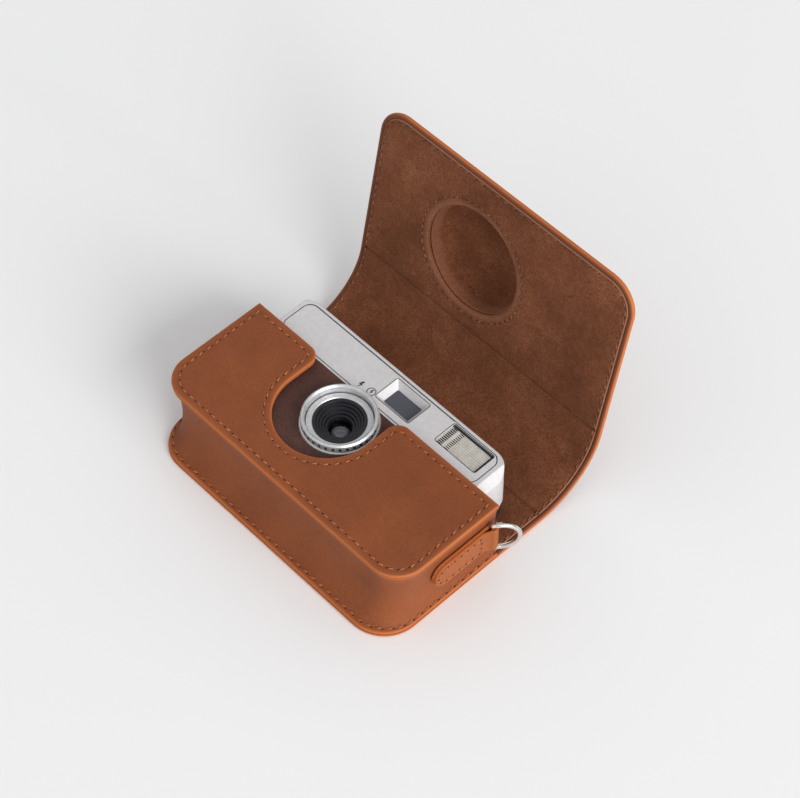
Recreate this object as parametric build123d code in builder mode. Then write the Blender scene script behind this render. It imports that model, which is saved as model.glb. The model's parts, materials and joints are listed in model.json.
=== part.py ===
from build123d import *
import os
from math import asin, cos, degrees, radians, sin, tan

# Half frame film camera in its fitted leather case, the flap standing open.
# X runs along the camera's width, Y towards the flap, Z up from the table.
# The origin is on the resting face of the case, midway along its back panel.

os.makedirs("parts", exist_ok=True)


def keep(builder, name):
    """Labels a finished piece and writes it as its own STEP file."""
    builder.part.label = name
    export_step(builder.part, f"parts/{name}.step")


# ---------------------------------------------------------------- driving sizes (mm)

# camera body
CAM_X = -2.5
CAM_W = 110.0
CAM_H = 62.0
CAM_TOP_Y = 34.7
CAM_BACK_Z = 2.7
CAM_FACE_Z = 30.5
CAM_R = 8.0
BEVEL_W = 2.5
BEVEL_D = 4.5
SPLIT_Z = 10.4
REAR_INSET = 0.4
WALL = 1.4
FACE_T = 1.1
BAND_GAP = 0.2
INLAY_T = 0.5
INLAY_EDGE = 2.0
GROOVE = 0.25
SKIN_T = 0.6
SKIN_PROUD = 0.4

# lens
LENS_X = -4.4
LENS_Y = 2.7
RING_R = 14.3
RING_WALL = 1.5
RING_PROUD = 4.7
FLANGE_OUT = 0.5
BEZEL_GAP = 0.1
BEZEL_W = 2.6
BEZEL_PROUD = 1.3
CONE_STEPS = 5
CONE_DEPTH = 3.7
THROAT_R = 4.3
LENS_R = 4.2
BARREL_DEPTH = 9.9
APERTURE_R = 2.2
KNURLS = 34

# leather case; its outline leaves room round the camera
CASE_ROOM = 16.4
BACK_ROOM = 13.0
FOLD_Y = 40.0
BACK_R = 15.4
LEATHER_T = 1.4
LINING_T = 1.0
TURNED_EDGE = 1.6
PANEL_OVERHANG = 0.3
PANEL_ROOM = 6.2
MOUTH_Y = 16.7
PANEL_LIFT = 4.5
PANEL_R = 12.5
CUT_X = -8.6
CUT_Y = 0.8
CUT_ROOM = 5.5
CUT_TIP_R = 5.6
GUSSET_T = 1.2
GUSSET_LINING_T = 0.6
GUSSET_END_Y = 17.0
GLUE_GAP = 0.05

# flap: a strip that rolls up from the table, then a flat flap with a lens dome
ROLL_R = 28.0
ROLL_ANGLE = 78.6
CREASE_S = 2.4
FLAP_L = 69.7
FLAP_R = 12.5
FOLD_GAP = 0.2
FOLD_BACK = 75.0
DOME_X = -9.5
DOME_S = 31.0
DOME_ROOM = 7.0
DOME_DEPTH = 11.0
DOME_TAPER = 4.8
DOME_BRIM = 5.0
CUP_LINING_T = 0.8
CUP_DRAFT = 0.6
CUP_ROUND = 4.0
MAGNET_R = 5.0
MAGNET_T = 0.8
MAGNET_X = 45.0
MAGNET_S = 58.5
MAGNET_IN = 13.5

# strap rings
WIRE_R = 0.95
RING_W = 13.6
RING_ARM = 3.0
RING_SWING = 38.0
RING_OUT = 0.35
RING_Y = 13.2
RING_Z = 19.0
TAB_W = 11.0
TAB_END_Y = -15.0
TAB_T = 1.1
RUN = 0.08

# windows
FINDER_X = 4.4
FINDER_Y = 25.9
FINDER_W = 17.1
FINDER_H = 11.4
FINDER_IN_W = 12.7
FINDER_IN_H = 7.4
FINDER_DEPTH = 3.0
FLASH_X = 35.05
FLASH_Y = 27.25
FLASH_W = 20.5
FLASH_H = 10.3
SKIRT_T = 0.6

# film chamber and drive
CHASSIS_TOP_Y = 21.9
CHASSIS_T = 1.1
FILM_Z = 6.6
GATE_W = 18.0
GATE_H = 24.0
CORE_HALF_W = 13.0
CORE_GAP = 0.4
SPOOL_X = -41.5
SPOOL_Z = 13.4
SPOOL_R = 5.5
SPOOL_FLANGE_R = 8.6
WHEEL_R = 10.4
WHEEL_T = 4.6
WHEEL_Y = 24.2
SPROCKET_X = -25.1
SPROCKET_R = 6.05
SPROCKET_TEETH = 8
TOOTH_H = 0.9
PERFORATION_ROWS = 28.2
DIAL_R = 7.6
DIAL_Y = 30.2
CARTRIDGE_X = 37.5
CARTRIDGE_Z = 16.9
SHAFT_R = 2.0
DOOR_T = 1.3
DOOR_TOP_Y = 21.9
DOOR_EDGE = 2.6
DOOR_R = 6.0
DOOR_GAP = 0.15
BUTTON_X = -42.0
BUTTON_Z = 21.0
BUTTON_R = 4.2
BUTTON_PROUD = 1.1
BATTERY_X = 17.2
BATTERY_Z = 22.2
BATTERY_R = 5.25
BATTERY_L = 44.5
CRANK_R = 6.0

# ---------------------------------------------------------------- sizes that follow

STACK_T = LEATHER_T + LINING_T
CAM_Y = CAM_TOP_Y - CAM_H / 2
CAM_END_Y = CAM_TOP_Y - CAM_H
CAM_LEFT = CAM_X - CAM_W / 2
CAM_RIGHT = CAM_X + CAM_W / 2
FLOOR_Y = CAM_END_Y + WALL
CEILING_Y = CAM_TOP_Y - WALL
FACE_BACK_Z = CAM_FACE_Z - FACE_T
DOOR_IN_Z = CAM_BACK_Z + DOOR_T
SPROCKET_Z = FILM_Z + SPROCKET_R

# the lens stands on the face beside the band that carries the windows,
# and the case's cut and dome make room for it
BAND_Y = LENS_Y + RING_R + BAND_GAP
RING_BORE_R = RING_R - RING_WALL
RING_RIM_Z = CAM_FACE_Z + RING_PROUD
FLANGE_R = RING_R + FLANGE_OUT
BEZEL_R = RING_BORE_R - BEZEL_GAP
BEZEL_Z = CAM_FACE_Z + BEZEL_PROUD
CONE_R = BEZEL_R - BEZEL_W
CONE_Z = CAM_FACE_Z - CONE_DEPTH
BARREL_BACK_Z = CAM_FACE_Z - BARREL_DEPTH
CUT_R = FLANGE_R + CUT_ROOM
DOME_R = FLANGE_R + DOME_ROOM
DOME_FLOOR_R = DOME_R - DOME_TAPER
DOME_BRIM_R = DOME_R + DOME_BRIM

# the case follows the camera
CASE_W = CAM_W + CASE_ROOM
BACK_END_Y = CAM_END_Y - BACK_ROOM
PANEL_W = CASE_W + PANEL_OVERHANG
PANEL_END_Y = CAM_END_Y - PANEL_ROOM
PANEL_TOP_Z = CAM_FACE_Z + PANEL_LIFT
PANEL_BOTTOM_Z = PANEL_TOP_Z - STACK_T
MAGNET_Y = PANEL_END_Y + MAGNET_IN
RING_X = PANEL_W / 2 + RING_OUT

# the shutter works between the lens barrel and the light tunnel's block
BLADE_GAP = 0.3
BLADE_T = 0.4
SHUTTER_T = 1.0
BLADE_Z = BARREL_BACK_Z - BLADE_GAP - BLADE_T
SHUTTER_Z = BLADE_Z - BLADE_GAP - SHUTTER_T
CORE_TOP_Z = SHUTTER_Z - CORE_GAP

# the roll's centre stands over the first fold, the crease lies on its tangent
ROLL_Z = STACK_T + ROLL_R
ROLL_DIR = (cos(radians(ROLL_ANGLE)), sin(radians(ROLL_ANGLE)))
ROLL_END = (FOLD_Y + ROLL_R * ROLL_DIR[1], ROLL_Z - ROLL_R * ROLL_DIR[0])
CREASE = (ROLL_END[0] + CREASE_S * ROLL_DIR[0], ROLL_END[1] + CREASE_S * ROLL_DIR[1])
FLAP_IN = Plane(
    origin=(0, CREASE[0], CREASE[1]),
    x_dir=(1, 0, 0),
    z_dir=(0, -ROLL_DIR[1], ROLL_DIR[0]),
)
# each layer starts back from the crease by what a folded-back flap needs
LINING_GAP = FOLD_GAP + LINING_T * tan(radians(FOLD_BACK / 2))
LEATHER_GAP = FOLD_GAP + STACK_T * tan(radians(FOLD_BACK / 2))


def upright(x, y, z):
    """A plane at (x, y, z) whose normal is +Y, with its local x along +X."""
    return Plane(origin=(x, y, z), x_dir=(1, 0, 0), z_dir=(0, 1, 0))


# ---------------------------------------------------------------- leather case: back


def half_round_plate(width, end_y, head_y, corner_r):
    """Draws a plate outline with two round corners at its -Y end."""
    with Locations((0, (end_y + head_y) / 2)):
        Rectangle(width, head_y - end_y)
    fillet(vertices().group_by(Axis.Y)[0], corner_r)


with BuildPart() as case_back_panel:
    with BuildSketch(Plane.XY):
        half_round_plate(CASE_W, BACK_END_Y, FOLD_Y - FOLD_GAP, BACK_R)
    extrude(amount=LEATHER_T)
keep(case_back_panel, "case_back_panel")

FLARE_Z = 8.0
WAIST_Z = 18.0

# gusset outline at each height: height, half width, end, corner radius
GUSSET_SECTIONS = (
    (STACK_T, CASE_W / 2 - 1.6, BACK_END_Y + 2.3, 14.0),
    (FLARE_Z, CASE_W / 2 - 2.5, BACK_END_Y + 6.9, 12.0),
    (WAIST_Z, PANEL_W / 2 - 2.4, PANEL_END_Y + 2.3, 11.0),
    (PANEL_BOTTOM_Z, PANEL_W / 2 - 1.4, PANEL_END_Y + 1.5, 11.5),
)


def gusset_outlines(inset):
    """The gusset's closed outline, moved in by inset, at every height."""
    outlines = []
    for height, half, end_y, corner_r in GUSSET_SECTIONS:
        with BuildSketch(Plane.XY.offset(height)) as outline:
            half_round_plate(2 * (half - inset), end_y + inset, FOLD_Y, corner_r - inset)
        outlines.append(outline.sketch)
    return outlines


def open_mouth():
    """Cuts away everything beyond the mouth of the pocket."""
    with Locations((0, GUSSET_END_Y + CASE_W / 2, 0)):
        Box(2 * CASE_W, CASE_W, 2 * PANEL_TOP_Z + 2, mode=Mode.SUBTRACT)


FOOT_HALF = GUSSET_SECTIONS[0][1]
FOOT_END_Y = GUSSET_SECTIONS[0][2]
FOOT_R = GUSSET_SECTIONS[0][3]
LIP_EDGE = 0.3

with BuildPart() as case_gusset:
    loft(gusset_outlines(0))
    # the foot is turned out flat and sewn down all round
    with BuildSketch(Plane.XY.offset(LEATHER_T)):
        half_round_plate(CASE_W - 2 * LIP_EDGE, BACK_END_Y + LIP_EDGE, FOLD_Y, BACK_R - LIP_EDGE)
    extrude(amount=LINING_T)
    loft(gusset_outlines(GUSSET_T), mode=Mode.SUBTRACT)
    with BuildSketch(Plane.XY.offset(LEATHER_T)):
        half_round_plate(
            2 * (FOOT_HALF - GUSSET_T), FOOT_END_Y + GUSSET_T, FOLD_Y, FOOT_R - GUSSET_T
        )
    extrude(amount=LINING_T, mode=Mode.SUBTRACT)
    open_mouth()
keep(case_gusset, "case_gusset")

with BuildPart() as gusset_lining:
    loft(gusset_outlines(GUSSET_T + GLUE_GAP))
    loft(gusset_outlines(GUSSET_T + GLUE_GAP + GUSSET_LINING_T), mode=Mode.SUBTRACT)
    open_mouth()
keep(gusset_lining, "gusset_lining")

with BuildPart() as case_back_lining:
    with BuildSketch(Plane.XY.offset(LEATHER_T)):
        half_round_plate(
            2 * (FOOT_HALF - GUSSET_T - GLUE_GAP),
            FOOT_END_Y + GUSSET_T + GLUE_GAP,
            FOLD_Y - LINING_GAP,
            FOOT_R - GUSSET_T - GLUE_GAP,
        )
        with Locations((0, (GUSSET_END_Y + GLUE_GAP + FOLD_Y - LINING_GAP) / 2)):
            Rectangle(
                CASE_W - 2 * TURNED_EDGE, FOLD_Y - LINING_GAP - GUSSET_END_Y - GLUE_GAP
            )
    extrude(amount=LINING_T)
keep(case_back_lining, "case_back_lining")

# ---------------------------------------------------------------- leather case: front


def front_outline(inset):
    """Draws the front panel with its U-shaped lens cut, moved in by inset."""
    cut_r = CUT_R + inset
    half_round_plate(PANEL_W - 2 * inset, PANEL_END_Y + inset, MOUTH_Y - inset, PANEL_R - inset)
    with Locations((CUT_X, CUT_Y)):
        Circle(cut_r, mode=Mode.SUBTRACT)
    with Locations((CUT_X, CUT_Y + PANEL_W / 2)):
        Rectangle(2 * cut_r, PANEL_W, mode=Mode.SUBTRACT)
    fillet(vertices().group_by(Axis.Y)[-1].sort_by(Axis.X)[1:3], CUT_TIP_R)


with BuildPart() as case_front_panel:
    with BuildSketch(Plane.XY.offset(PANEL_TOP_Z - LEATHER_T)):
        front_outline(0)
    extrude(amount=LEATHER_T)
keep(case_front_panel, "case_front_panel")

UNDER_INSET = 0.5

# the panel magnets meet the flap's when the flap is down

with BuildPart() as front_panel_lining:
    with BuildSketch(Plane.XY.offset(PANEL_BOTTOM_Z)):
        front_outline(UNDER_INSET)
    extrude(amount=LINING_T)
    with BuildSketch(Plane.XY.offset(PANEL_BOTTOM_Z + LINING_T)):
        with Locations((-MAGNET_X, MAGNET_Y), (MAGNET_X, MAGNET_Y)):
            Circle(MAGNET_R)
    extrude(amount=-MAGNET_T, mode=Mode.SUBTRACT)
keep(front_panel_lining, "front_panel_lining")

with BuildPart() as panel_magnets:
    with BuildSketch(Plane.XY.offset(PANEL_BOTTOM_Z + LINING_T)):
        with Locations((-MAGNET_X, MAGNET_Y), (MAGNET_X, MAGNET_Y)):
            Circle(MAGNET_R)
    extrude(amount=-MAGNET_T)
keep(panel_magnets, "panel_magnets")

# ---------------------------------------------------------------- leather case: flap


def roll_band(inner_r, outer_r, gap):
    """The rolled strip's side profile between two radii, short of both folds by gap."""
    start = degrees(gap / ROLL_R)
    sweep_angle = ROLL_ANGLE - start
    run_out = CREASE_S - gap
    with BuildSketch(Plane.YZ) as profile:
        with BuildLine():
            outer = CenterArc((FOLD_Y, ROLL_Z), outer_r, start - 90, sweep_angle)
            outer_end = (
                (outer @ 1).X + run_out * ROLL_DIR[0],
                (outer @ 1).Y + run_out * ROLL_DIR[1],
            )
            Line(outer @ 1, outer_end)
            inner = CenterArc((FOLD_Y, ROLL_Z), inner_r, start - 90, sweep_angle)
            inner_end = (
                (inner @ 1).X + run_out * ROLL_DIR[0],
                (inner @ 1).Y + run_out * ROLL_DIR[1],
            )
            Line(inner @ 1, inner_end)
            Line(inner_end, outer_end)
            Line(inner @ 0, outer @ 0)
        make_face()
    return profile.sketch


with BuildPart() as case_top_strip:
    extrude(
        roll_band(ROLL_R + LINING_T, ROLL_R + STACK_T, LEATHER_GAP), amount=CASE_W / 2, both=True
    )
keep(case_top_strip, "case_top_strip")

with BuildPart() as strip_lining:
    extrude(
        roll_band(ROLL_R, ROLL_R + LINING_T, LINING_GAP),
        amount=CASE_W / 2 - TURNED_EDGE,
        both=True,
    )
keep(strip_lining, "strip_lining")


def flap_outline(depth, width, start_s, end_s, corner_r):
    """The flap's outline at a depth behind its inner face, with the dome's hole."""
    with BuildSketch(FLAP_IN.offset(-depth)) as outline:
        with Locations((0, (start_s + end_s) / 2)):
            Rectangle(width, end_s - start_s)
        fillet(vertices().group_by(Axis.Y)[-1], corner_r)
        with Locations((DOME_X, DOME_S)):
            Circle(DOME_R, mode=Mode.SUBTRACT)
    return outline.sketch


with BuildPart() as case_flap:
    extrude(
        flap_outline(LINING_T, CASE_W, LEATHER_GAP, FLAP_L, FLAP_R),
        amount=-LEATHER_T,
    )
keep(case_flap, "case_flap")

with BuildPart() as flap_lining:
    extrude(
        flap_outline(
            0,
            CASE_W - 2 * TURNED_EDGE,
            LINING_GAP,
            FLAP_L - TURNED_EDGE,
            FLAP_R - TURNED_EDGE,
        ),
        amount=-LINING_T,
    )
    with BuildSketch(FLAP_IN.offset(-LINING_T)):
        with Locations((-MAGNET_X, MAGNET_S), (MAGNET_X, MAGNET_S)):
            Circle(MAGNET_R)
    extrude(amount=MAGNET_T, mode=Mode.SUBTRACT)
keep(flap_lining, "flap_lining")

with BuildPart() as flap_magnets:
    with BuildSketch(FLAP_IN.offset(-LINING_T)):
        with Locations((-MAGNET_X, MAGNET_S), (MAGNET_X, MAGNET_S)):
            Circle(MAGNET_R)
    extrude(amount=MAGNET_T)
keep(flap_magnets, "flap_magnets")

# the dome turns about its own axis, square to the flap, with its radius along X
DOME_CENTRE = FLAP_IN.from_local_coords((DOME_X, DOME_S, 0))
DOME_SIDE = Plane(origin=DOME_CENTRE, x_dir=(1, 0, 0), z_dir=-FLAP_IN.y_dir)
DOME_AXIS = Axis(DOME_CENTRE, FLAP_IN.z_dir)


CUP_STEP = CUP_LINING_T + GLUE_GAP


def dome_cup(rim_depth, mouth_r, floor_r, floor_depth, wall):
    """A pressed cup: brim, steep wall and flat floor, from inner radii and a wall.
    Depths count away from the camera, so they are negative on the sketch plane."""
    inside = [
        (DOME_BRIM_R, rim_depth),
        (mouth_r, rim_depth),
        (mouth_r - CUP_DRAFT, floor_depth - CUP_ROUND),
        (floor_r, floor_depth),
        (0, floor_depth),
    ]
    outside = [
        (0, floor_depth + wall),
        (floor_r + wall / 2, floor_depth + wall),
        (mouth_r - CUP_DRAFT + wall, floor_depth - CUP_ROUND + wall / 2),
        (mouth_r + wall, rim_depth + wall),
        (DOME_BRIM_R, rim_depth + wall),
    ]
    with BuildSketch(DOME_SIDE) as profile:
        with BuildLine():
            Polyline(*[(radius, -depth) for radius, depth in inside + outside], close=True)
        make_face()
    return profile.sketch


with BuildPart() as dome_lining:
    revolve(dome_cup(STACK_T, DOME_R, DOME_FLOOR_R, DOME_DEPTH, CUP_LINING_T), axis=DOME_AXIS)
keep(dome_lining, "dome_lining")

with BuildPart() as flap_dome:
    revolve(
        dome_cup(
            STACK_T + CUP_STEP,
            DOME_R + CUP_STEP,
            DOME_FLOOR_R + CUP_STEP / 2,
            DOME_DEPTH + CUP_STEP,
            LEATHER_T,
        ),
        axis=DOME_AXIS,
    )
keep(flap_dome, "flap_dome")

# ---------------------------------------------------------------- strap tabs and rings

TAB_IN_X = RING_X - WIRE_R - RUN - TAB_T
LOOP_R = WIRE_R + RUN + TAB_T


def tab_outline(side):
    """A folded tab seen from above: two layers that end in the loop round the ring."""
    with BuildSketch(Plane.XY.offset(RING_Z - TAB_W / 2)) as outline:
        with Locations((side * (TAB_IN_X + TAB_T), (TAB_END_Y + RING_Y) / 2)):
            Rectangle(2 * TAB_T, RING_Y - TAB_END_Y)
        with Locations((side * RING_X, RING_Y)):
            Circle(LOOP_R)
            Circle(WIRE_R + RUN, mode=Mode.SUBTRACT)
    return outline.sketch


def ring_wire(side):
    """A round wire bent to a D: a bar along Z, two arms and a half-round bow."""
    bar = Vector(side * RING_X, RING_Y, RING_Z)
    out = Vector(side * sin(radians(RING_SWING)), cos(radians(RING_SWING)), 0)
    bow_r = RING_W / 2
    low = bar - Vector(0, 0, bow_r)
    with BuildPart() as ring:
        with BuildSketch(Plane(origin=low, x_dir=(1, 0, 0), z_dir=(0, 0, 1))):
            Circle(WIRE_R)
        extrude(amount=RING_W)
        for height in (0, RING_W):
            corner = low + Vector(0, 0, height)
            with Locations(corner):
                Sphere(WIRE_R)
            with BuildSketch(Plane(origin=corner, x_dir=(0, 0, 1), z_dir=out)):
                Circle(WIRE_R)
            extrude(amount=RING_ARM)
        arm_end = low + out * RING_ARM
        with BuildSketch(Plane(origin=arm_end, x_dir=(0, 0, 1), z_dir=out)):
            Circle(WIRE_R)
        bow_axis = Axis(arm_end + Vector(0, 0, bow_r), Vector(0, 0, -1).cross(out))
        revolve(axis=bow_axis, revolution_arc=180)
    return ring.part


with BuildPart() as d_ring_tab_right:
    extrude(tab_outline(1), amount=TAB_W)
keep(d_ring_tab_right, "d_ring_tab_right")

with BuildPart() as d_ring_tab_left:
    extrude(tab_outline(-1), amount=TAB_W)
keep(d_ring_tab_left, "d_ring_tab_left")

with BuildPart() as d_ring_right:
    add(ring_wire(1))
keep(d_ring_right, "d_ring_right")

with BuildPart() as d_ring_left:
    add(ring_wire(-1))
keep(d_ring_left, "d_ring_left")

# ---------------------------------------------------------------- camera: shells


def body_outline(inset):
    """The camera's outline seen from the front, moved in by inset."""
    with BuildSketch() as outline:
        with Locations((CAM_X, CAM_Y)):
            RectangleRounded(CAM_W - 2 * inset, CAM_H - 2 * inset, CAM_R - inset)
    return outline.sketch


def bar_y(x, z, radius, start_y, length, mode=Mode.ADD):
    """A round bar along Y, for shafts and holes that stand square to the top."""
    with Locations(Location((x, start_y + length / 2, z), (90, 0, 0))):
        Cylinder(radius, length, mode=mode)


def block(low, high, mode=Mode.ADD):
    """A square-edged block between two corners."""
    with Locations(tuple((a + b) / 2 for a, b in zip(low, high))):
        Box(*[b - a for a, b in zip(low, high)], mode=mode)


FUNNEL_BACK_Z = CAM_FACE_Z - FINDER_DEPTH
GLASS_W = FINDER_IN_W + 1.6
GLASS_H = FINDER_IN_H + 1.2
REFLECTOR_FRONT_Z = CAM_FACE_Z - FACE_T - INLAY_T - 0.05
REFLECTOR_D = 6.5
REFLECTOR_BACK_Z = REFLECTOR_FRONT_Z - REFLECTOR_D
FINDER_HOLE = (FINDER_W + 2 * SKIRT_T + GROOVE, FINDER_H + 2 * SKIRT_T + GROOVE)
FLASH_HOLE = (FLASH_W + 2 * SKIRT_T + GROOVE, FLASH_H + 2 * SKIRT_T + GROOVE)
INLAY_TOP_Y = CAM_TOP_Y - INLAY_EDGE
INLAY_W = CAM_W - 2 * BEVEL_W - 2 * INLAY_EDGE
INLAY_R = 4.0
SKIN_TOP_Y = BAND_Y - 1.0
SKIN_W = CAM_W - 2 * BEVEL_W - 1.6
SKIN_END_Y = CAM_END_Y + 1.2
LENS_HOLE_R = BEZEL_R + 0.1
COUNTER_Z = SPOOL_Z + 5.6
COUNTER_R = 3.2
LATCH_SLOT = (8.4, 3.2)
LATCH_Z = 6.8
CRANK_HOLE_R = CRANK_R + 0.3
RELEASE_X = -20.0
RELEASE_R = 2.2
BATTERY_DOOR = (13.0, 12.0)


def face_patch(width, low_y, high_y, corner_r, height):
    """A rounded patch on the camera's face, its width centred on the camera."""
    with BuildSketch(Plane.XY.offset(height)) as patch:
        with Locations((CAM_X, (low_y + high_y) / 2)):
            RectangleRounded(width, high_y - low_y, corner_r)
    return patch.sketch


with BuildPart() as front_shell:
    extrude(Plane.XY.offset(SPLIT_Z) * body_outline(0), amount=CAM_FACE_Z - SPLIT_Z)
    # both ends slope in towards the face
    with BuildSketch(Plane.XZ.offset(-CAM_TOP_Y)):
        with BuildLine():
            Polyline(
                (CAM_LEFT, SPLIT_Z),
                (CAM_RIGHT, SPLIT_Z),
                (CAM_RIGHT, CAM_FACE_Z - BEVEL_D),
                (CAM_RIGHT - BEVEL_W, CAM_FACE_Z),
                (CAM_LEFT + BEVEL_W, CAM_FACE_Z),
                (CAM_LEFT, CAM_FACE_Z - BEVEL_D),
                close=True,
            )
        make_face()
    extrude(amount=CAM_H, mode=Mode.INTERSECT)
    fillet(edges().group_by(Axis.Z)[-1], 0.5)
    # hollow behind the face
    with BuildSketch(Plane.XY.offset(SPLIT_Z)):
        with Locations((CAM_X, CAM_Y)):
            RectangleRounded(
                CAM_W - 2 * (WALL + BEVEL_W), CAM_H - 2 * WALL, CAM_R - WALL - BEVEL_W
            )
    extrude(amount=FACE_BACK_Z - SPLIT_Z, mode=Mode.SUBTRACT)
    extrude(
        Plane.XY.offset(SPLIT_Z) * body_outline(WALL),
        amount=FACE_BACK_Z - SPLIT_Z - BEVEL_D,
        mode=Mode.SUBTRACT,
    )
    # recess for the inlay, recess for the covering, and the openings through the face
    extrude(
        face_patch(
            INLAY_W + 2 * GROOVE, BAND_Y - GROOVE, INLAY_TOP_Y + GROOVE, INLAY_R, CAM_FACE_Z
        ),
        amount=-INLAY_T,
        mode=Mode.SUBTRACT,
    )
    extrude(
        face_patch(SKIN_W + GROOVE, SKIN_END_Y - GROOVE, SKIN_TOP_Y, INLAY_R, CAM_FACE_Z),
        amount=SKIN_PROUD - SKIN_T,
        mode=Mode.SUBTRACT,
    )
    with BuildSketch(Plane.XY.offset(FUNNEL_BACK_Z)):
        with Locations((FINDER_X, FINDER_Y)):
            Rectangle(*FINDER_HOLE)
    extrude(amount=FINDER_DEPTH, mode=Mode.SUBTRACT)
    with BuildSketch(Plane.XY.offset(REFLECTOR_FRONT_Z)):
        with Locations((FLASH_X, FLASH_Y)):
            Rectangle(*FLASH_HOLE)
    extrude(amount=CAM_FACE_Z - REFLECTOR_FRONT_Z, mode=Mode.SUBTRACT)
    with BuildSketch(Plane.XY.offset(FACE_BACK_Z)):
        with Locations((LENS_X, LENS_Y)):
            Circle(LENS_HOLE_R)
    extrude(amount=FACE_T, mode=Mode.SUBTRACT)
    # holes in the top for the release and the frame counter
    with BuildSketch(upright(0, CEILING_Y, 0)):
        with Locations((BUTTON_X, -BUTTON_Z)):
            Circle(BUTTON_R + RUN)
        with Locations((SPROCKET_X, -COUNTER_Z)):
            Circle(COUNTER_R)
    extrude(amount=WALL, mode=Mode.SUBTRACT)
    # holes in the underside for the crank, the release and the battery
    with BuildSketch(upright(0, CAM_END_Y, 0)):
        with Locations((CARTRIDGE_X, -CARTRIDGE_Z)):
            Circle(CRANK_HOLE_R)
        with Locations((RELEASE_X, -CARTRIDGE_Z)):
            Circle(RELEASE_R + RUN)
        with Locations((BATTERY_X, -BATTERY_Z)):
            Rectangle(*BATTERY_DOOR)
    extrude(amount=WALL, mode=Mode.SUBTRACT)
keep(front_shell, "front_shell")

with BuildPart() as top_faceplate:
    extrude(
        face_patch(INLAY_W, BAND_Y, INLAY_TOP_Y, INLAY_R - GROOVE, CAM_FACE_Z), amount=-INLAY_T
    )
    # skirts of the finder's funnel and of the flash window reach in through the shell
    with BuildSketch(Plane.XY.offset(CAM_FACE_Z)):
        with Locations((FINDER_X, FINDER_Y)):
            Rectangle(FINDER_W + 2 * SKIRT_T, FINDER_H + 2 * SKIRT_T)
    extrude(amount=-FINDER_DEPTH)
    with BuildSketch(Plane.XY.offset(CAM_FACE_Z)):
        with Locations((FLASH_X, FLASH_Y)):
            Rectangle(FLASH_W + 2 * SKIRT_T, FLASH_H + 2 * SKIRT_T)
    extrude(amount=-FACE_T - INLAY_T)
    with BuildSketch(Plane.XY.offset(CAM_FACE_Z)):
        with Locations((FINDER_X, FINDER_Y)):
            RectangleRounded(FINDER_W, FINDER_H, 0.8)
    with BuildSketch(Plane.XY.offset(CAM_FACE_Z - FINDER_DEPTH)):
        with Locations((FINDER_X, FINDER_Y)):
            RectangleRounded(FINDER_IN_W, FINDER_IN_H, 0.4)
    loft(mode=Mode.SUBTRACT)
    with BuildSketch(Plane.XY.offset(CAM_FACE_Z)):
        with Locations((FLASH_X, FLASH_Y)):
            RectangleRounded(FLASH_W, FLASH_H, 0.8)
    extrude(amount=-FACE_T - INLAY_T, mode=Mode.SUBTRACT)
keep(top_faceplate, "top_faceplate")

with BuildPart() as leatherette_front:
    extrude(
        face_patch(SKIN_W, SKIN_END_Y, SKIN_TOP_Y - GROOVE, INLAY_R, CAM_FACE_Z + SKIN_PROUD),
        amount=-SKIN_T,
    )
    with BuildSketch(Plane.XY.offset(CAM_FACE_Z - SKIN_T)):
        with Locations((LENS_X, LENS_Y)):
            Circle(FLANGE_R + GROOVE)
    extrude(amount=2 * SKIN_T, mode=Mode.SUBTRACT)
keep(leatherette_front, "leatherette_front")

DOOR_W = CAM_W - 2 * DOOR_EDGE
DOOR_END_Y = CAM_END_Y + 1.3
PIN_R = 0.8
PIN_X = CAM_LEFT + 2.2
PIN_Z = CAM_BACK_Z + 1.6
KNUCKLE_R = 1.45
KNUCKLE_L = 36.0
PIN_L = 40.0
EYEPIECE = (9.0, 6.6)
SCREW_R = 0.8
SCREW_HEAD_R = 1.6
SCREW_HEAD_T = 0.7
SCREW_SUNK = 0.1
SCREW_L = 5.0
SCREW_SLOT = (2.0, 0.45)
SCREWS = [(CAM_LEFT + 5, CAM_TOP_Y - 5), (CAM_RIGHT - 5, CAM_TOP_Y - 5)]
LAMP = (20.0, 28.5)
LAMP_R = 1.3

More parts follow.
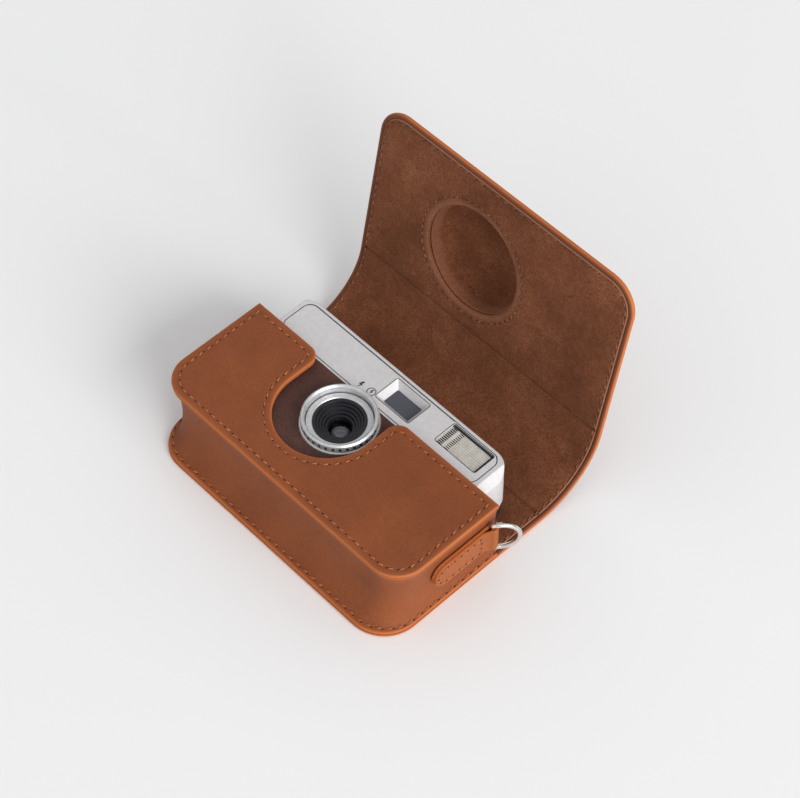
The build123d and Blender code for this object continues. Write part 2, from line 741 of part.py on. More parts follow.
with BuildPart() as rear_shell:
    extrude(Plane.XY.offset(CAM_BACK_Z) * body_outline(REAR_INSET), amount=SPLIT_Z - CAM_BACK_Z)
    fillet(edges().group_by(Axis.Z)[0], 0.6)
    extrude(
        Plane.XY.offset(DOOR_IN_Z) * body_outline(WALL + REAR_INSET),
        amount=SPLIT_Z - DOOR_IN_Z,
        mode=Mode.SUBTRACT,
    )
    # the opening that the door closes
    extrude(
        face_patch(
            DOOR_W + 2 * DOOR_GAP,
            DOOR_END_Y - DOOR_GAP,
            DOOR_TOP_Y + DOOR_GAP,
            DOOR_R,
            CAM_BACK_Z,
        ),
        amount=DOOR_T,
        mode=Mode.SUBTRACT,
    )
    # notch for the door's hinge, with the pin let into both of its ends
    block(
        (CAM_LEFT - 1, CAM_Y - KNUCKLE_L / 2, CAM_BACK_Z - 1),
        (CAM_LEFT + DOOR_EDGE + 1.2, CAM_Y + KNUCKLE_L / 2, PIN_Z + KNUCKLE_R + 0.1),
        mode=Mode.SUBTRACT,
    )
    bar_y(PIN_X, PIN_Z, PIN_R, CAM_Y - PIN_L / 2, PIN_L, mode=Mode.SUBTRACT)
    # slot for the latch
    block(
        (CAM_RIGHT - 4, CAM_Y - LATCH_SLOT[0] / 2, LATCH_Z - LATCH_SLOT[1] / 2),
        (CAM_RIGHT + 1, CAM_Y + LATCH_SLOT[0] / 2, LATCH_Z + LATCH_SLOT[1] / 2),
        mode=Mode.SUBTRACT,
    )
    # slot for the thumb wheel, hole for the eyepiece, the lamp and the screws
    with BuildSketch(Plane.XY.offset(CAM_BACK_Z)):
        with Locations((SPOOL_X, WHEEL_Y + WHEEL_T / 2)):
            Rectangle(2 * WHEEL_R - 3, WHEEL_T + 0.6)
        with Locations((FINDER_X, FINDER_Y + 1.2)):
            Rectangle(*EYEPIECE)
        with Locations(LAMP):
            Circle(LAMP_R)
        with Locations(SCREWS):
            Circle(SCREW_R)
    extrude(amount=DOOR_T, mode=Mode.SUBTRACT)
    with BuildSketch(Plane.XY.offset(CAM_BACK_Z)):
        with Locations(SCREWS):
            Circle(SCREW_HEAD_R + 0.1)
    extrude(amount=SCREW_HEAD_T, mode=Mode.SUBTRACT)
keep(rear_shell, "rear_shell")

with BuildPart() as shell_screws:
    with BuildSketch(Plane.XY.offset(CAM_BACK_Z + SCREW_SUNK)):
        with Locations(SCREWS):
            Circle(SCREW_HEAD_R)
    extrude(amount=SCREW_HEAD_T - SCREW_SUNK)
    with BuildSketch(Plane.XY.offset(CAM_BACK_Z + SCREW_HEAD_T)):
        with Locations(SCREWS):
            Circle(SCREW_R)
    extrude(amount=SCREW_L)
    # crossed slots in the heads
    for spot in SCREWS:
        for turn in (0, 90):
            with BuildSketch(Plane.XY.offset(CAM_BACK_Z + SCREW_SUNK)):
                with Locations(spot):
                    Rectangle(*SCREW_SLOT, rotation=turn)
            extrude(amount=0.35, mode=Mode.SUBTRACT)
keep(shell_screws, "shell_screws")

with BuildPart() as back_door:
    extrude(face_patch(DOOR_W, DOOR_END_Y, DOOR_TOP_Y, DOOR_R, CAM_BACK_Z), amount=DOOR_T)
    fillet(edges().group_by(Axis.Z)[0], 0.4)
    # rolled knuckle along the hinge side
    block(
        (PIN_X, CAM_Y - KNUCKLE_L / 2 + DOOR_GAP, PIN_Z - KNUCKLE_R),
        (CAM_LEFT + DOOR_EDGE + 1, CAM_Y + KNUCKLE_L / 2 - DOOR_GAP, DOOR_IN_Z),
    )
    bar_y(
        PIN_X, PIN_Z, KNUCKLE_R, CAM_Y - KNUCKLE_L / 2 + DOOR_GAP, KNUCKLE_L - 2 * DOOR_GAP
    )
    bar_y(PIN_X, PIN_Z, PIN_R + RUN, CAM_Y - PIN_L / 2, PIN_L, mode=Mode.SUBTRACT)
keep(back_door, "back_door")

with BuildPart() as door_hinge_pin:
    bar_y(PIN_X, PIN_Z, PIN_R, CAM_Y - PIN_L / 2, PIN_L)
keep(door_hinge_pin, "door_hinge_pin")

SEAL_W = 1.3
SEAL_T = 0.7

with BuildPart() as door_light_seals:
    for seal_y in (FLOOR_Y + REAR_INSET + 1.0, DOOR_TOP_Y - 1.0):
        with BuildSketch(Plane.XY.offset(DOOR_IN_Z)):
            with Locations((CAM_X, seal_y)):
                Rectangle(0.86 * DOOR_W, SEAL_W)
        extrude(amount=SEAL_T)
keep(door_light_seals, "door_light_seals")

LATCH_L = 5.2
LATCH_W = 3.0
LATCH_PROUD = 0.1
RIB_T = 0.4
RIB_PITCH = 1.3
LATCH_PLATE_LAP = 1.5
LATCH_PLATE_T = 1.2
LATCH_Y = CAM_Y - LATCH_SLOT[0] / 2 + 0.1

with BuildPart() as door_latch:
    # a plate inside the wall, a stem through the slot and a ribbed thumb pad outside
    block(
        (
            CAM_RIGHT - REAR_INSET - WALL - LATCH_PROUD - LATCH_PLATE_T,
            LATCH_Y - LATCH_PLATE_LAP,
            LATCH_Z - LATCH_W / 2 - 0.9,
        ),
        (
            CAM_RIGHT - REAR_INSET - WALL - LATCH_PROUD,
            LATCH_Y + LATCH_L + LATCH_PLATE_LAP,
            LATCH_Z + LATCH_W / 2 + 0.9,
        ),
    )
    block(
        (CAM_RIGHT - REAR_INSET - WALL - 0.2, LATCH_Y, LATCH_Z - LATCH_W / 2),
        (CAM_RIGHT + LATCH_PROUD, LATCH_Y + LATCH_L, LATCH_Z + LATCH_W / 2),
    )
    for rib in range(4):
        block(
            (CAM_RIGHT + LATCH_PROUD, LATCH_Y + 0.3 + RIB_PITCH * rib, LATCH_Z - LATCH_W / 2),
            (
                CAM_RIGHT + LATCH_PROUD + RIB_T,
                LATCH_Y + 1.0 + RIB_PITCH * rib,
                LATCH_Z + LATCH_W / 2,
            ),
        )
keep(door_latch, "door_latch")

LUG_R = 2.8
LUG_WIRE_R = 0.8
LUG_Y = 25.5
LUG_Z = 17.0

with BuildPart() as strap_lug:
    with Locations((CAM_LEFT, LUG_Y, LUG_Z)):
        Torus(LUG_R, LUG_WIRE_R)
    split(bisect_by=Plane.YZ.offset(CAM_LEFT), keep=Keep.BOTTOM)
keep(strap_lug, "strap_lug")

# ---------------------------------------------------------------- camera: film chamber

CORE_LEFT = LENS_X - CORE_HALF_W
CORE_RIGHT = LENS_X + CORE_HALF_W
CHASSIS_LEFT = CAM_LEFT + WALL + BEVEL_W + 0.2
CHASSIS_RIGHT = CAM_RIGHT - WALL - BEVEL_W - 0.2
CHASSIS_BACK_Z = DOOR_IN_Z + 1.4
CHASSIS_FRONT_Z = FACE_BACK_Z - 0.2
CHASSIS_END_Y = FLOOR_Y + 0.2 + REAR_INSET
PLATE_IN_Y = CHASSIS_END_Y + CHASSIS_T
TUNNEL_FRONT = (12.0, 10.0)
RAIL_H = 1.0
RAIL_T = 0.5
BATTERY_Y = PLATE_IN_Y + 0.9

with BuildPart() as film_chassis:
    # plates above and below the film, and the walls of the two chambers
    for low_y in (CHASSIS_END_Y, CHASSIS_TOP_Y):
        block(
            (CHASSIS_LEFT, low_y, CHASSIS_BACK_Z),
            (CHASSIS_RIGHT, low_y + CHASSIS_T, CHASSIS_FRONT_Z),
        )
    block(
        (CORE_LEFT, CHASSIS_END_Y, FILM_Z + RAIL_T),
        (CORE_RIGHT, CHASSIS_TOP_Y, CORE_TOP_Z),
    )
    block(
        (CARTRIDGE_X - 14.3, CHASSIS_END_Y, CARTRIDGE_Z),
        (CARTRIDGE_X - 13.2, CHASSIS_TOP_Y, CHASSIS_FRONT_Z),
    )
    # light tunnel that widens from the shutter to the film gate
    with BuildSketch(Plane.XY.offset(FILM_Z + RAIL_T)):
        with Locations((LENS_X, LENS_Y)):
            Rectangle(GATE_W, GATE_H)
    with BuildSketch(Plane.XY.offset(CORE_TOP_Z)):
        with Locations((LENS_X, LENS_Y)):
            Rectangle(*TUNNEL_FRONT)
    loft(mode=Mode.SUBTRACT)
    # the film slides on two rails, above and below the gate
    for side in (-1, 1):
        rail_y = LENS_Y + side * (GATE_H / 2 + 2.5)
        block(
            (CORE_LEFT, rail_y - RAIL_H / 2, FILM_Z),
            (CORE_RIGHT, rail_y + RAIL_H / 2, FILM_Z + RAIL_T),
        )
    # room for the finder above the film, and for the flash above the cartridge
    block(
        (FINDER_X - GLASS_W / 2 - 0.2, CHASSIS_TOP_Y - 0.2, CHASSIS_BACK_Z),
        (FINDER_X + GLASS_W / 2 + 0.2, CEILING_Y, CHASSIS_FRONT_Z),
        mode=Mode.SUBTRACT,
    )
    block(
        (FINDER_X - FINDER_HOLE[0] / 2, FINDER_Y - FINDER_HOLE[1] / 2, FUNNEL_BACK_Z - 0.2),
        (FINDER_X + FINDER_HOLE[0] / 2, CEILING_Y, CHASSIS_FRONT_Z),
        mode=Mode.SUBTRACT,
    )
    block(
        (FLASH_X - FLASH_HOLE[0] / 2, FLASH_Y - FLASH_HOLE[1] / 2, REFLECTOR_BACK_Z - 0.2),
        (FLASH_X + FLASH_HOLE[0] / 2, CEILING_Y, CHASSIS_FRONT_Z),
        mode=Mode.SUBTRACT,
    )
    # round the corners to suit the shell
    with BuildSketch(Plane.XY.offset(CHASSIS_BACK_Z)):
        with Locations((CAM_X, (CHASSIS_END_Y + CEILING_Y) / 2)):
            RectangleRounded(
                CHASSIS_RIGHT - CHASSIS_LEFT, CEILING_Y - CHASSIS_END_Y, CAM_R - WALL
            )
    extrude(amount=CHASSIS_FRONT_Z - CHASSIS_BACK_Z, mode=Mode.INTERSECT)
    # bores for the spool, the sprocket, the rewind shaft and the rewind release
    for x, z, radius in (
        (SPOOL_X, SPOOL_Z, SHAFT_R),
        (SPROCKET_X, SPROCKET_Z, SHAFT_R),
        (CARTRIDGE_X, CARTRIDGE_Z, SHAFT_R),
        (RELEASE_X, CARTRIDGE_Z, RELEASE_R),
    ):
        bar_y(x, z, radius + RUN, CHASSIS_END_Y - 1, CAM_H / 4, mode=Mode.SUBTRACT)
    for x, z in ((SPOOL_X, SPOOL_Z), (SPROCKET_X, SPROCKET_Z)):
        bar_y(x, z, SHAFT_R + RUN, CHASSIS_TOP_Y - 1, CHASSIS_T + 2, mode=Mode.SUBTRACT)
keep(film_chassis, "film_chassis")

SPOOL_LOW_Y = PLATE_IN_Y + 0.3
SPOOL_HIGH_Y = CHASSIS_TOP_Y - 0.3
SPOOL_FLANGE_T = 1.2
FILM_SLOT_W = 1.2
FILM_SLOT_L = 22.0

with BuildPart() as take_up_spool:
    bar_y(SPOOL_X, SPOOL_Z, SPOOL_R, SPOOL_LOW_Y, SPOOL_HIGH_Y - SPOOL_LOW_Y)
    for flange_y in (SPOOL_LOW_Y, SPOOL_HIGH_Y - SPOOL_FLANGE_T):
        bar_y(SPOOL_X, SPOOL_Z, SPOOL_FLANGE_R, flange_y, SPOOL_FLANGE_T)
    bar_y(SPOOL_X, SPOOL_Z, SHAFT_R, CHASSIS_END_Y, WHEEL_Y - CHASSIS_END_Y)
    # slot that takes the end of the film
    block(
        (SPOOL_X - FILM_SLOT_W / 2, LENS_Y - FILM_SLOT_L / 2, SPOOL_Z - SPOOL_R - 1),
        (SPOOL_X + FILM_SLOT_W / 2, LENS_Y + FILM_SLOT_L / 2, SPOOL_Z + SPOOL_R + 1),
        mode=Mode.SUBTRACT,
    )
keep(take_up_spool, "take_up_spool")

WHEEL_KNURLS = 36
WHEEL_KNURL_R = 0.42
WHEEL_RIM = 2.0
WHEEL_HUB_R = 4.0

with BuildPart() as advance_wheel:
    bar_y(SPOOL_X, SPOOL_Z, WHEEL_R, WHEEL_Y, WHEEL_T)
    fillet(edges().filter_by(GeomType.CIRCLE), 0.5)
    with Locations(Location((SPOOL_X, WHEEL_Y + WHEEL_T / 2, SPOOL_Z), (90, 0, 0))):
        with PolarLocations(WHEEL_R + 0.15, WHEEL_KNURLS):
            Cylinder(WHEEL_KNURL_R, WHEEL_T, mode=Mode.SUBTRACT)
    bar_y(SPOOL_X, SPOOL_Z, WHEEL_R - WHEEL_RIM, WHEEL_Y + WHEEL_T - 1, 1, mode=Mode.SUBTRACT)
    bar_y(SPOOL_X, SPOOL_Z, WHEEL_HUB_R, WHEEL_Y, WHEEL_T)
keep(advance_wheel, "advance_wheel")

with BuildPart() as sprocket_shaft:
    bar_y(
        SPROCKET_X,
        SPROCKET_Z,
        SHAFT_R + 1,
        PLATE_IN_Y + 0.3,
        CHASSIS_TOP_Y - PLATE_IN_Y - 0.6,
    )
    bar_y(
        SPROCKET_X,
        SPROCKET_Z,
        SHAFT_R,
        CHASSIS_END_Y,
        CHASSIS_TOP_Y + CHASSIS_T - CHASSIS_END_Y + 0.4,
    )
    for side in (-1, 1):
        row_y = LENS_Y + side * PERFORATION_ROWS / 2
        bar_y(SPROCKET_X, SPROCKET_Z, SPROCKET_R, row_y - 1, 2)
        with Locations(Location((SPROCKET_X, row_y, SPROCKET_Z), (90, 0, 0))):
            with PolarLocations(SPROCKET_R, SPROCKET_TEETH):
                Box(2 * TOOTH_H, 1.6, 1.8)
keep(sprocket_shaft, "sprocket_shaft")

with BuildPart() as counter_dial:
    bar_y(SPROCKET_X, SPROCKET_Z, DIAL_R, DIAL_Y, 0.9)
    bar_y(SPROCKET_X, SPROCKET_Z, SHAFT_R, DIAL_Y - 4, 4)
    # a raised tick for each ten frames
    with Locations(Location((SPROCKET_X, DIAL_Y + 0.9, SPROCKET_Z), (90, 0, 0))):
        with PolarLocations(DIAL_R - 1.3, 8):
            Box(1.6, 0.4, 0.3)
keep(counter_dial, "counter_dial")

with BuildPart() as counter_window:
    bar_y(SPROCKET_X, COUNTER_Z, COUNTER_R - GROOVE / 4, CEILING_Y, WALL - 0.2)
keep(counter_window, "counter_window")

with BuildPart() as pressure_plate:
    with BuildSketch(Plane.XY.offset(FILM_Z - 0.2)):
        with Locations((LENS_X, LENS_Y)):
            RectangleRounded(2 * CORE_HALF_W, GATE_H + 12, 2)
    extrude(amount=-0.8)
keep(pressure_plate, "pressure_plate")

SPRING_HALF = 11.0
SPRING_W = 8.0
SPRING_T = 0.25
SPRING_TIP_Z = FILM_Z - 1.0

with BuildPart() as pressure_spring:
    # a bowed leaf that is held by its middle on the door
    with BuildSketch(Plane.XZ.offset(-LENS_Y - SPRING_W / 2)):
        with BuildLine():
            bow = ThreePointArc(
                (LENS_X - SPRING_HALF, SPRING_TIP_Z),
                (LENS_X, DOOR_IN_Z + SPRING_T),
                (LENS_X + SPRING_HALF, SPRING_TIP_Z),
            )
            bow_low = ThreePointArc(
                (LENS_X - SPRING_HALF, SPRING_TIP_Z - SPRING_T),
                (LENS_X, DOOR_IN_Z),
                (LENS_X + SPRING_HALF, SPRING_TIP_Z - SPRING_T),
            )
            Line(bow @ 0, bow_low @ 0)
            Line(bow @ 1, bow_low @ 1)
        make_face()
    extrude(amount=SPRING_W)
keep(pressure_spring, "pressure_spring")

with BuildPart() as rewind_fork:
    bar_y(CARTRIDGE_X, CARTRIDGE_Z, SHAFT_R, CHASSIS_END_Y - 0.1, 7)
    block(
        (CARTRIDGE_X - 3.2, PLATE_IN_Y + 3.4, CARTRIDGE_Z - 0.6),
        (CARTRIDGE_X + 3.2, PLATE_IN_Y + 6.4, CARTRIDGE_Z + 0.6),
    )
    bar_y(CARTRIDGE_X, CARTRIDGE_Z, 3.6, PLATE_IN_Y + 0.4, 2)
keep(rewind_fork, "rewind_fork")

KNOB_T = 1.3
KNOB_Y = CHASSIS_END_Y - 0.1 - KNOB_T
LEVER_T = 0.6
LEVER_W = 3.0
LEVER_INSET = 1.4

with BuildPart() as rewind_knob:
    bar_y(CARTRIDGE_X, CARTRIDGE_Z, CRANK_R, KNOB_Y, KNOB_T)
    block(
        (CARTRIDGE_X - CRANK_R, CAM_END_Y - 1, CARTRIDGE_Z - LEVER_W / 2 - 0.1),
        (
            CARTRIDGE_X + CRANK_R,
            KNOB_Y + LEVER_T + 0.05,
            CARTRIDGE_Z + LEVER_W / 2 + 0.1,
        ),
        mode=Mode.SUBTRACT,
    )
keep(rewind_knob, "rewind_knob")

with BuildPart() as rewind_crank_lever:
    block(
        (
            CARTRIDGE_X - CRANK_R + LEVER_INSET,
            KNOB_Y,
            CARTRIDGE_Z - LEVER_W / 2,
        ),
        (
            CARTRIDGE_X + CRANK_R - LEVER_INSET,
            KNOB_Y + LEVER_T,
            CARTRIDGE_Z + LEVER_W / 2,
        ),
    )
    fillet(edges().filter_by(Axis.Y), 1.2)
keep(rewind_crank_lever, "rewind_crank_lever")

with BuildPart() as rewind_release_button:
    bar_y(RELEASE_X, CARTRIDGE_Z, RELEASE_R, CAM_END_Y, 5.0)
keep(rewind_release_button, "rewind_release_button")

# ---------------------------------------------------------------- camera: release and shutter

STEM_R = 1.4

with BuildPart() as shutter_button:
    bar_y(BUTTON_X, BUTTON_Z, BUTTON_R, CEILING_Y - 0.6, WALL + 0.6 + BUTTON_PROUD)
    fillet(edges().group_by(Axis.Y)[-1], 0.7)
    bar_y(BUTTON_X, BUTTON_Z, STEM_R, DIAL_Y + 0.4, CEILING_Y - DIAL_Y - 1.0)
keep(shutter_button, "shutter_button")

PIVOT_OUT = 8.0
PIVOT = (LENS_X + PIVOT_OUT, LENS_Y)
PIVOT_R = 0.8
PIVOT_END = 0.2

with BuildPart() as shutter_plate:
    with BuildSketch(Plane.XY.offset(SHUTTER_Z)):
        with Locations((LENS_X, LENS_Y)):
            RectangleRounded(2 * CORE_HALF_W, 24, 2)
            Circle(APERTURE_R + 0.4, mode=Mode.SUBTRACT)
    extrude(amount=SHUTTER_T)
    with BuildSketch(Plane.XY.offset(SHUTTER_Z + SHUTTER_T)):
        with Locations(PIVOT):
            Circle(PIVOT_R)
    extrude(amount=BLADE_GAP + BLADE_T + PIVOT_END)
keep(shutter_plate, "shutter_plate")

with BuildPart() as shutter_blade:
    with BuildSketch(Plane.XY.offset(BLADE_Z)):
        with BuildLine():
            Polyline(
                (PIVOT[0] + 2.0, PIVOT[1] - 2.0),
                (PIVOT[0] + 2.0, PIVOT[1] + 2.0),
                (LENS_X + 1.0, LENS_Y + 3.4),
                (LENS_X - 3.4, LENS_Y + 3.0),
                (LENS_X - 3.4, LENS_Y - 3.0),
                (LENS_X + 1.0, LENS_Y - 3.4),
                close=True,
            )
        make_face()
        fillet(vertices(), 1.0)
        with Locations(PIVOT):
            Circle(PIVOT_R + RUN, mode=Mode.SUBTRACT)
    extrude(amount=BLADE_T)
keep(shutter_blade, "shutter_blade")

# ---------------------------------------------------------------- camera: lens

LENS_SIDE = Plane(origin=(LENS_X, LENS_Y, 0), x_dir=(1, 0, 0), z_dir=(0, -1, 0))
LENS_AXIS = Axis((LENS_X, LENS_Y, 0), (0, 0, 1))
BEZEL_T = 1.2
FLUTE_R = 0.62
FLUTE_OUT = 0.25
SEAT_Z = CONE_Z - 3.0

with BuildPart() as lens_barrel:
    # black throat that narrows in steps from the bezel to the front lens
    step_r = (CONE_R - 0.5 - THROAT_R) / CONE_STEPS
    step_z = (BEZEL_Z - 0.2 - CONE_Z) / CONE_STEPS
    stairs = [(THROAT_R, CONE_Z)]
    for step in range(CONE_STEPS):
        radius = THROAT_R + step * step_r
        height = CONE_Z + step * step_z
        stairs.append((radius + 0.35 * step_r, height + 0.9 * step_z))
        stairs.append((radius + step_r, height + step_z))
    with BuildSketch(LENS_SIDE):
        with BuildLine():
            Polyline(
                (APERTURE_R, BARREL_BACK_Z),
                (BEZEL_R - 0.6, BARREL_BACK_Z),
                (BEZEL_R - 0.6, BEZEL_Z - BEZEL_T),
                (CONE_R - 0.05, BEZEL_Z - BEZEL_T),
                (CONE_R - 0.05, BEZEL_Z - 0.2),
                *reversed(stairs),
                (THROAT_R, SEAT_Z),
                (APERTURE_R, SEAT_Z),
                close=True,
            )
        make_face()
    revolve(axis=LENS_AXIS)
keep(lens_barrel, "lens_barrel")

with BuildPart() as lens_bezel:
    with BuildSketch(LENS_SIDE):
        with BuildLine():
            Polyline(
                (CONE_R, BEZEL_Z - BEZEL_T),
                (BEZEL_R, BEZEL_Z - BEZEL_T),
                (BEZEL_R, BEZEL_Z),
                (CONE_R + 0.3, BEZEL_Z),
                (CONE_R, BEZEL_Z - 0.3),
                close=True,
            )
        make_face()
    revolve(axis=LENS_AXIS)
keep(lens_bezel, "lens_bezel")

with BuildPart() as lens_ring:
    with BuildSketch(LENS_SIDE):
        with BuildLine():
            Polyline(
                (RING_BORE_R, CAM_FACE_Z + 0.1),
                (FLANGE_R, CAM_FACE_Z + 0.1),
                (FLANGE_R, CAM_FACE_Z + 0.9),
                (RING_R, CAM_FACE_Z + 1.1),
                (RING_R, RING_RIM_Z - 0.5),
                (RING_R - 0.5, RING_RIM_Z),
                (RING_BORE_R + 0.6, RING_RIM_Z),
                (RING_BORE_R, RING_RIM_Z - 0.6),
                close=True,
            )
        make_face()
    revolve(axis=LENS_AXIS)
    # flutes round the grip, and the small index mark on the rim
    with BuildSketch(Plane.XY.offset(CAM_FACE_Z + 1.6)):
        with Locations((LENS_X, LENS_Y)):
            with PolarLocations(RING_R + FLUTE_OUT, KNURLS):
                Circle(FLUTE_R)
    extrude(amount=RING_PROUD - 2.9, mode=Mode.SUBTRACT)
keep(lens_ring, "lens_ring")


def lens_element(radius, back_z, thickness, bulge):
    """A round lens, its front a shallow spherical cap of height bulge, flat behind."""
    crown = back_z + thickness
    sphere_r = (radius**2 + bulge**2) / (2 * bulge)
    cap_angle = degrees(asin(radius / sphere_r))
    with BuildSketch(LENS_SIDE) as profile:
        with BuildLine():
            Polyline((0, crown), (0, back_z), (radius, back_z), (radius, crown - bulge))
            CenterArc((0, crown - sphere_r), sphere_r, 90 - cap_angle, cap_angle)
        make_face()
    return profile.sketch


with BuildPart() as front_lens:
    revolve(lens_element(LENS_R, SEAT_Z, 2.4, 0.9), axis=LENS_AXIS)
keep(front_lens, "front_lens")

with BuildPart() as rear_lens:
    revolve(lens_element(APERTURE_R - 0.02, BARREL_BACK_Z + 0.2, 1.4, 0.3), axis=LENS_AXIS)
keep(rear_lens, "rear_lens")

# ---------------------------------------------------------------- camera: finder and flash

FINDER_GLASS_T = 0.8
TUNNEL_WALL = 0.8
TUNNEL_BACK_Z = CAM_BACK_Z + DOOR_T + 0.2

with BuildPart() as viewfinder_front_window:
    with BuildSketch(Plane.XY.offset(FUNNEL_BACK_Z)):
        with Locations((FINDER_X, FINDER_Y)):
            Rectangle(GLASS_W, GLASS_H)
    extrude(amount=-FINDER_GLASS_T)
keep(viewfinder_front_window, "viewfinder_front_window")

with BuildPart() as viewfinder_tunnel:
    with BuildSketch(Plane.XY.offset(TUNNEL_BACK_Z)):
        with Locations((FINDER_X, FINDER_Y)):
            Rectangle(EYEPIECE[0] + 1.6, GLASS_H - 0.6)
    with BuildSketch(Plane.XY.offset(FUNNEL_BACK_Z - FINDER_GLASS_T)):
        with Locations((FINDER_X, FINDER_Y)):
            Rectangle(GLASS_W, GLASS_H - 0.6)
    loft()
    with BuildSketch(Plane.XY.offset(TUNNEL_BACK_Z)):
        with Locations((FINDER_X, FINDER_Y)):
            Rectangle(EYEPIECE[0], GLASS_H - 0.6 - 2 * TUNNEL_WALL)
    with BuildSketch(Plane.XY.offset(FUNNEL_BACK_Z - FINDER_GLASS_T)):
        with Locations((FINDER_X, FINDER_Y)):
            Rectangle(GLASS_W - 2 * TUNNEL_WALL, GLASS_H - 0.6 - 2 * TUNNEL_WALL)
    loft(mode=Mode.SUBTRACT)
keep(viewfinder_tunnel, "viewfinder_tunnel")

with BuildPart() as viewfinder_eyepiece:
    with BuildSketch(Plane.XY.offset(CAM_BACK_Z + 0.3)):
        with Locations((FINDER_X, FINDER_Y + 1.2)):
            RectangleRounded(EYEPIECE[0] - 0.1, EYEPIECE[1] - 0.1, 0.6)
    extrude(amount=DOOR_T - 0.3)
keep(viewfinder_eyepiece, "viewfinder_eyepiece")

FLASH_GLASS_T = 0.7
RIBS = 13
RIB_STEP = 1.4
RIB_W = 0.5
RIB_H = 0.25
FLASH_GLASS_Z = CAM_FACE_Z - 0.9
REFLECTOR_T = 0.6
TUBE_R = 1.3
TUBE_Z = REFLECTOR_FRONT_Z - REFLECTOR_D + 2.4

with BuildPart() as flash_cover:
    with BuildSketch(Plane.XY.offset(FLASH_GLASS_Z)):
        with Locations((FLASH_X, FLASH_Y)):
            RectangleRounded(FLASH_W - 0.1, FLASH_H - 0.1, 0.8)
    extrude(amount=-FLASH_GLASS_T)
    # moulded ribs behind the flat outside spread the light
    with BuildSketch(Plane.XY.offset(FLASH_GLASS_Z)):
        with Locations((FLASH_X, FLASH_Y)):
            with GridLocations(RIB_STEP, 0, RIBS, 1):
                Rectangle(RIB_W, FLASH_H - 1.2)
    extrude(amount=RIB_H)
keep(flash_cover, "flash_cover")

with BuildPart() as flash_reflector:
    with BuildSketch(Plane.YZ.offset(FLASH_X)):
        with Locations((FLASH_Y, REFLECTOR_FRONT_Z)):
            Ellipse(FLASH_H / 2 + 0.4, REFLECTOR_D)
            Ellipse(FLASH_H / 2 + 0.4 - REFLECTOR_T, REFLECTOR_D - REFLECTOR_T, mode=Mode.SUBTRACT)
        with Locations((FLASH_Y, REFLECTOR_FRONT_Z + FLASH_H)):
            Rectangle(2 * FLASH_W, 2 * FLASH_H, mode=Mode.SUBTRACT)
    extrude(amount=FLASH_W / 2, both=True)
    # end cheeks with a hole for the tube
    for side in (-1, 1):
        cheek_x = FLASH_X + side * (FLASH_W / 2 - REFLECTOR_T / 2)
        with BuildSketch(Plane.YZ.offset(cheek_x)):
            with Locations((FLASH_Y, REFLECTOR_FRONT_Z)):
                Ellipse(FLASH_H / 2 + 0.4 - REFLECTOR_T / 2, REFLECTOR_D - REFLECTOR_T / 2)
            with Locations((FLASH_Y, REFLECTOR_FRONT_Z + FLASH_H)):
                Rectangle(2 * FLASH_W, 2 * FLASH_H, mode=Mode.SUBTRACT)
        extrude(amount=REFLECTOR_T / 2, both=True)
    with BuildSketch(Plane.YZ.offset(FLASH_X - FLASH_W)):
        with Locations((FLASH_Y, TUBE_Z)):
            Circle(TUBE_R)
    extrude(amount=2 * FLASH_W, mode=Mode.SUBTRACT)
keep(flash_reflector, "flash_reflector")

with BuildPart() as flash_tube:
    with BuildSketch(Plane.YZ.offset(FLASH_X)):
        with Locations((FLASH_Y, TUBE_Z)):
            Circle(TUBE_R)
    extrude(amount=FLASH_W / 2 + 1.5, both=True)
keep(flash_tube, "flash_tube")

BOARD_Z = TUBE_Z - 7.5
BOARD_T = 1.2
BOARD_W = 26.0
BOARD_H = 8.2
CHIP_T = 1.6
CAPACITOR_R = 3.8
CAPACITOR_L = 24.0

with BuildPart() as flash_board:
    with BuildSketch(Plane.XY.offset(BOARD_Z)):
        with Locations((FLASH_X - 2, FLASH_Y + 0.8)):
            Rectangle(BOARD_W, BOARD_H)
    extrude(amount=BOARD_T)
    for part_x, part_w in ((FLASH_X - 9, 4.0), (FLASH_X - 1, 6.0), (FLASH_X + 7, 3.0)):
        with BuildSketch(Plane.XY.offset(BOARD_Z + BOARD_T)):
            with Locations((part_x, FLASH_Y + 0.8)):
                Rectangle(part_w, 5.0)
        extrude(amount=CHIP_T)
keep(flash_board, "flash_board")

with BuildPart() as flash_capacitor:
    with BuildSketch(Plane.YZ.offset(FLASH_X - 14)):
        with Locations((FLASH_Y + 0.6, BOARD_Z - CAPACITOR_R - 0.3)):
            Circle(CAPACITOR_R)
    extrude(amount=CAPACITOR_L)
keep(flash_capacitor, "flash_capacitor")

with BuildPart() as ready_lamp:
    with BuildSketch(Plane.XY.offset(CAM_BACK_Z + 0.1)):
        with Locations(LAMP):
            Circle(LAMP_R)
    extrude(amount=2.4)
keep(ready_lamp, "ready_lamp")

with BuildPart() as battery:
    bar_y(BATTERY_X, BATTERY_Z, BATTERY_R, BATTERY_Y, BATTERY_L - 0.8)
    fillet(edges().filter_by(GeomType.CIRCLE), 0.3)
    bar_y(BATTERY_X, BATTERY_Z, 1.9, BATTERY_Y + BATTERY_L - 0.8, 0.8)
keep(battery, "battery")

with BuildPart() as battery_contacts:
    bar_y(BATTERY_X, BATTERY_Z, 2.6, BATTERY_Y + BATTERY_L, 0.3)
    bar_y(BATTERY_X, BATTERY_Z, 3.6, BATTERY_Y - 0.4, 0.35)
keep(battery_contacts, "battery_contacts")

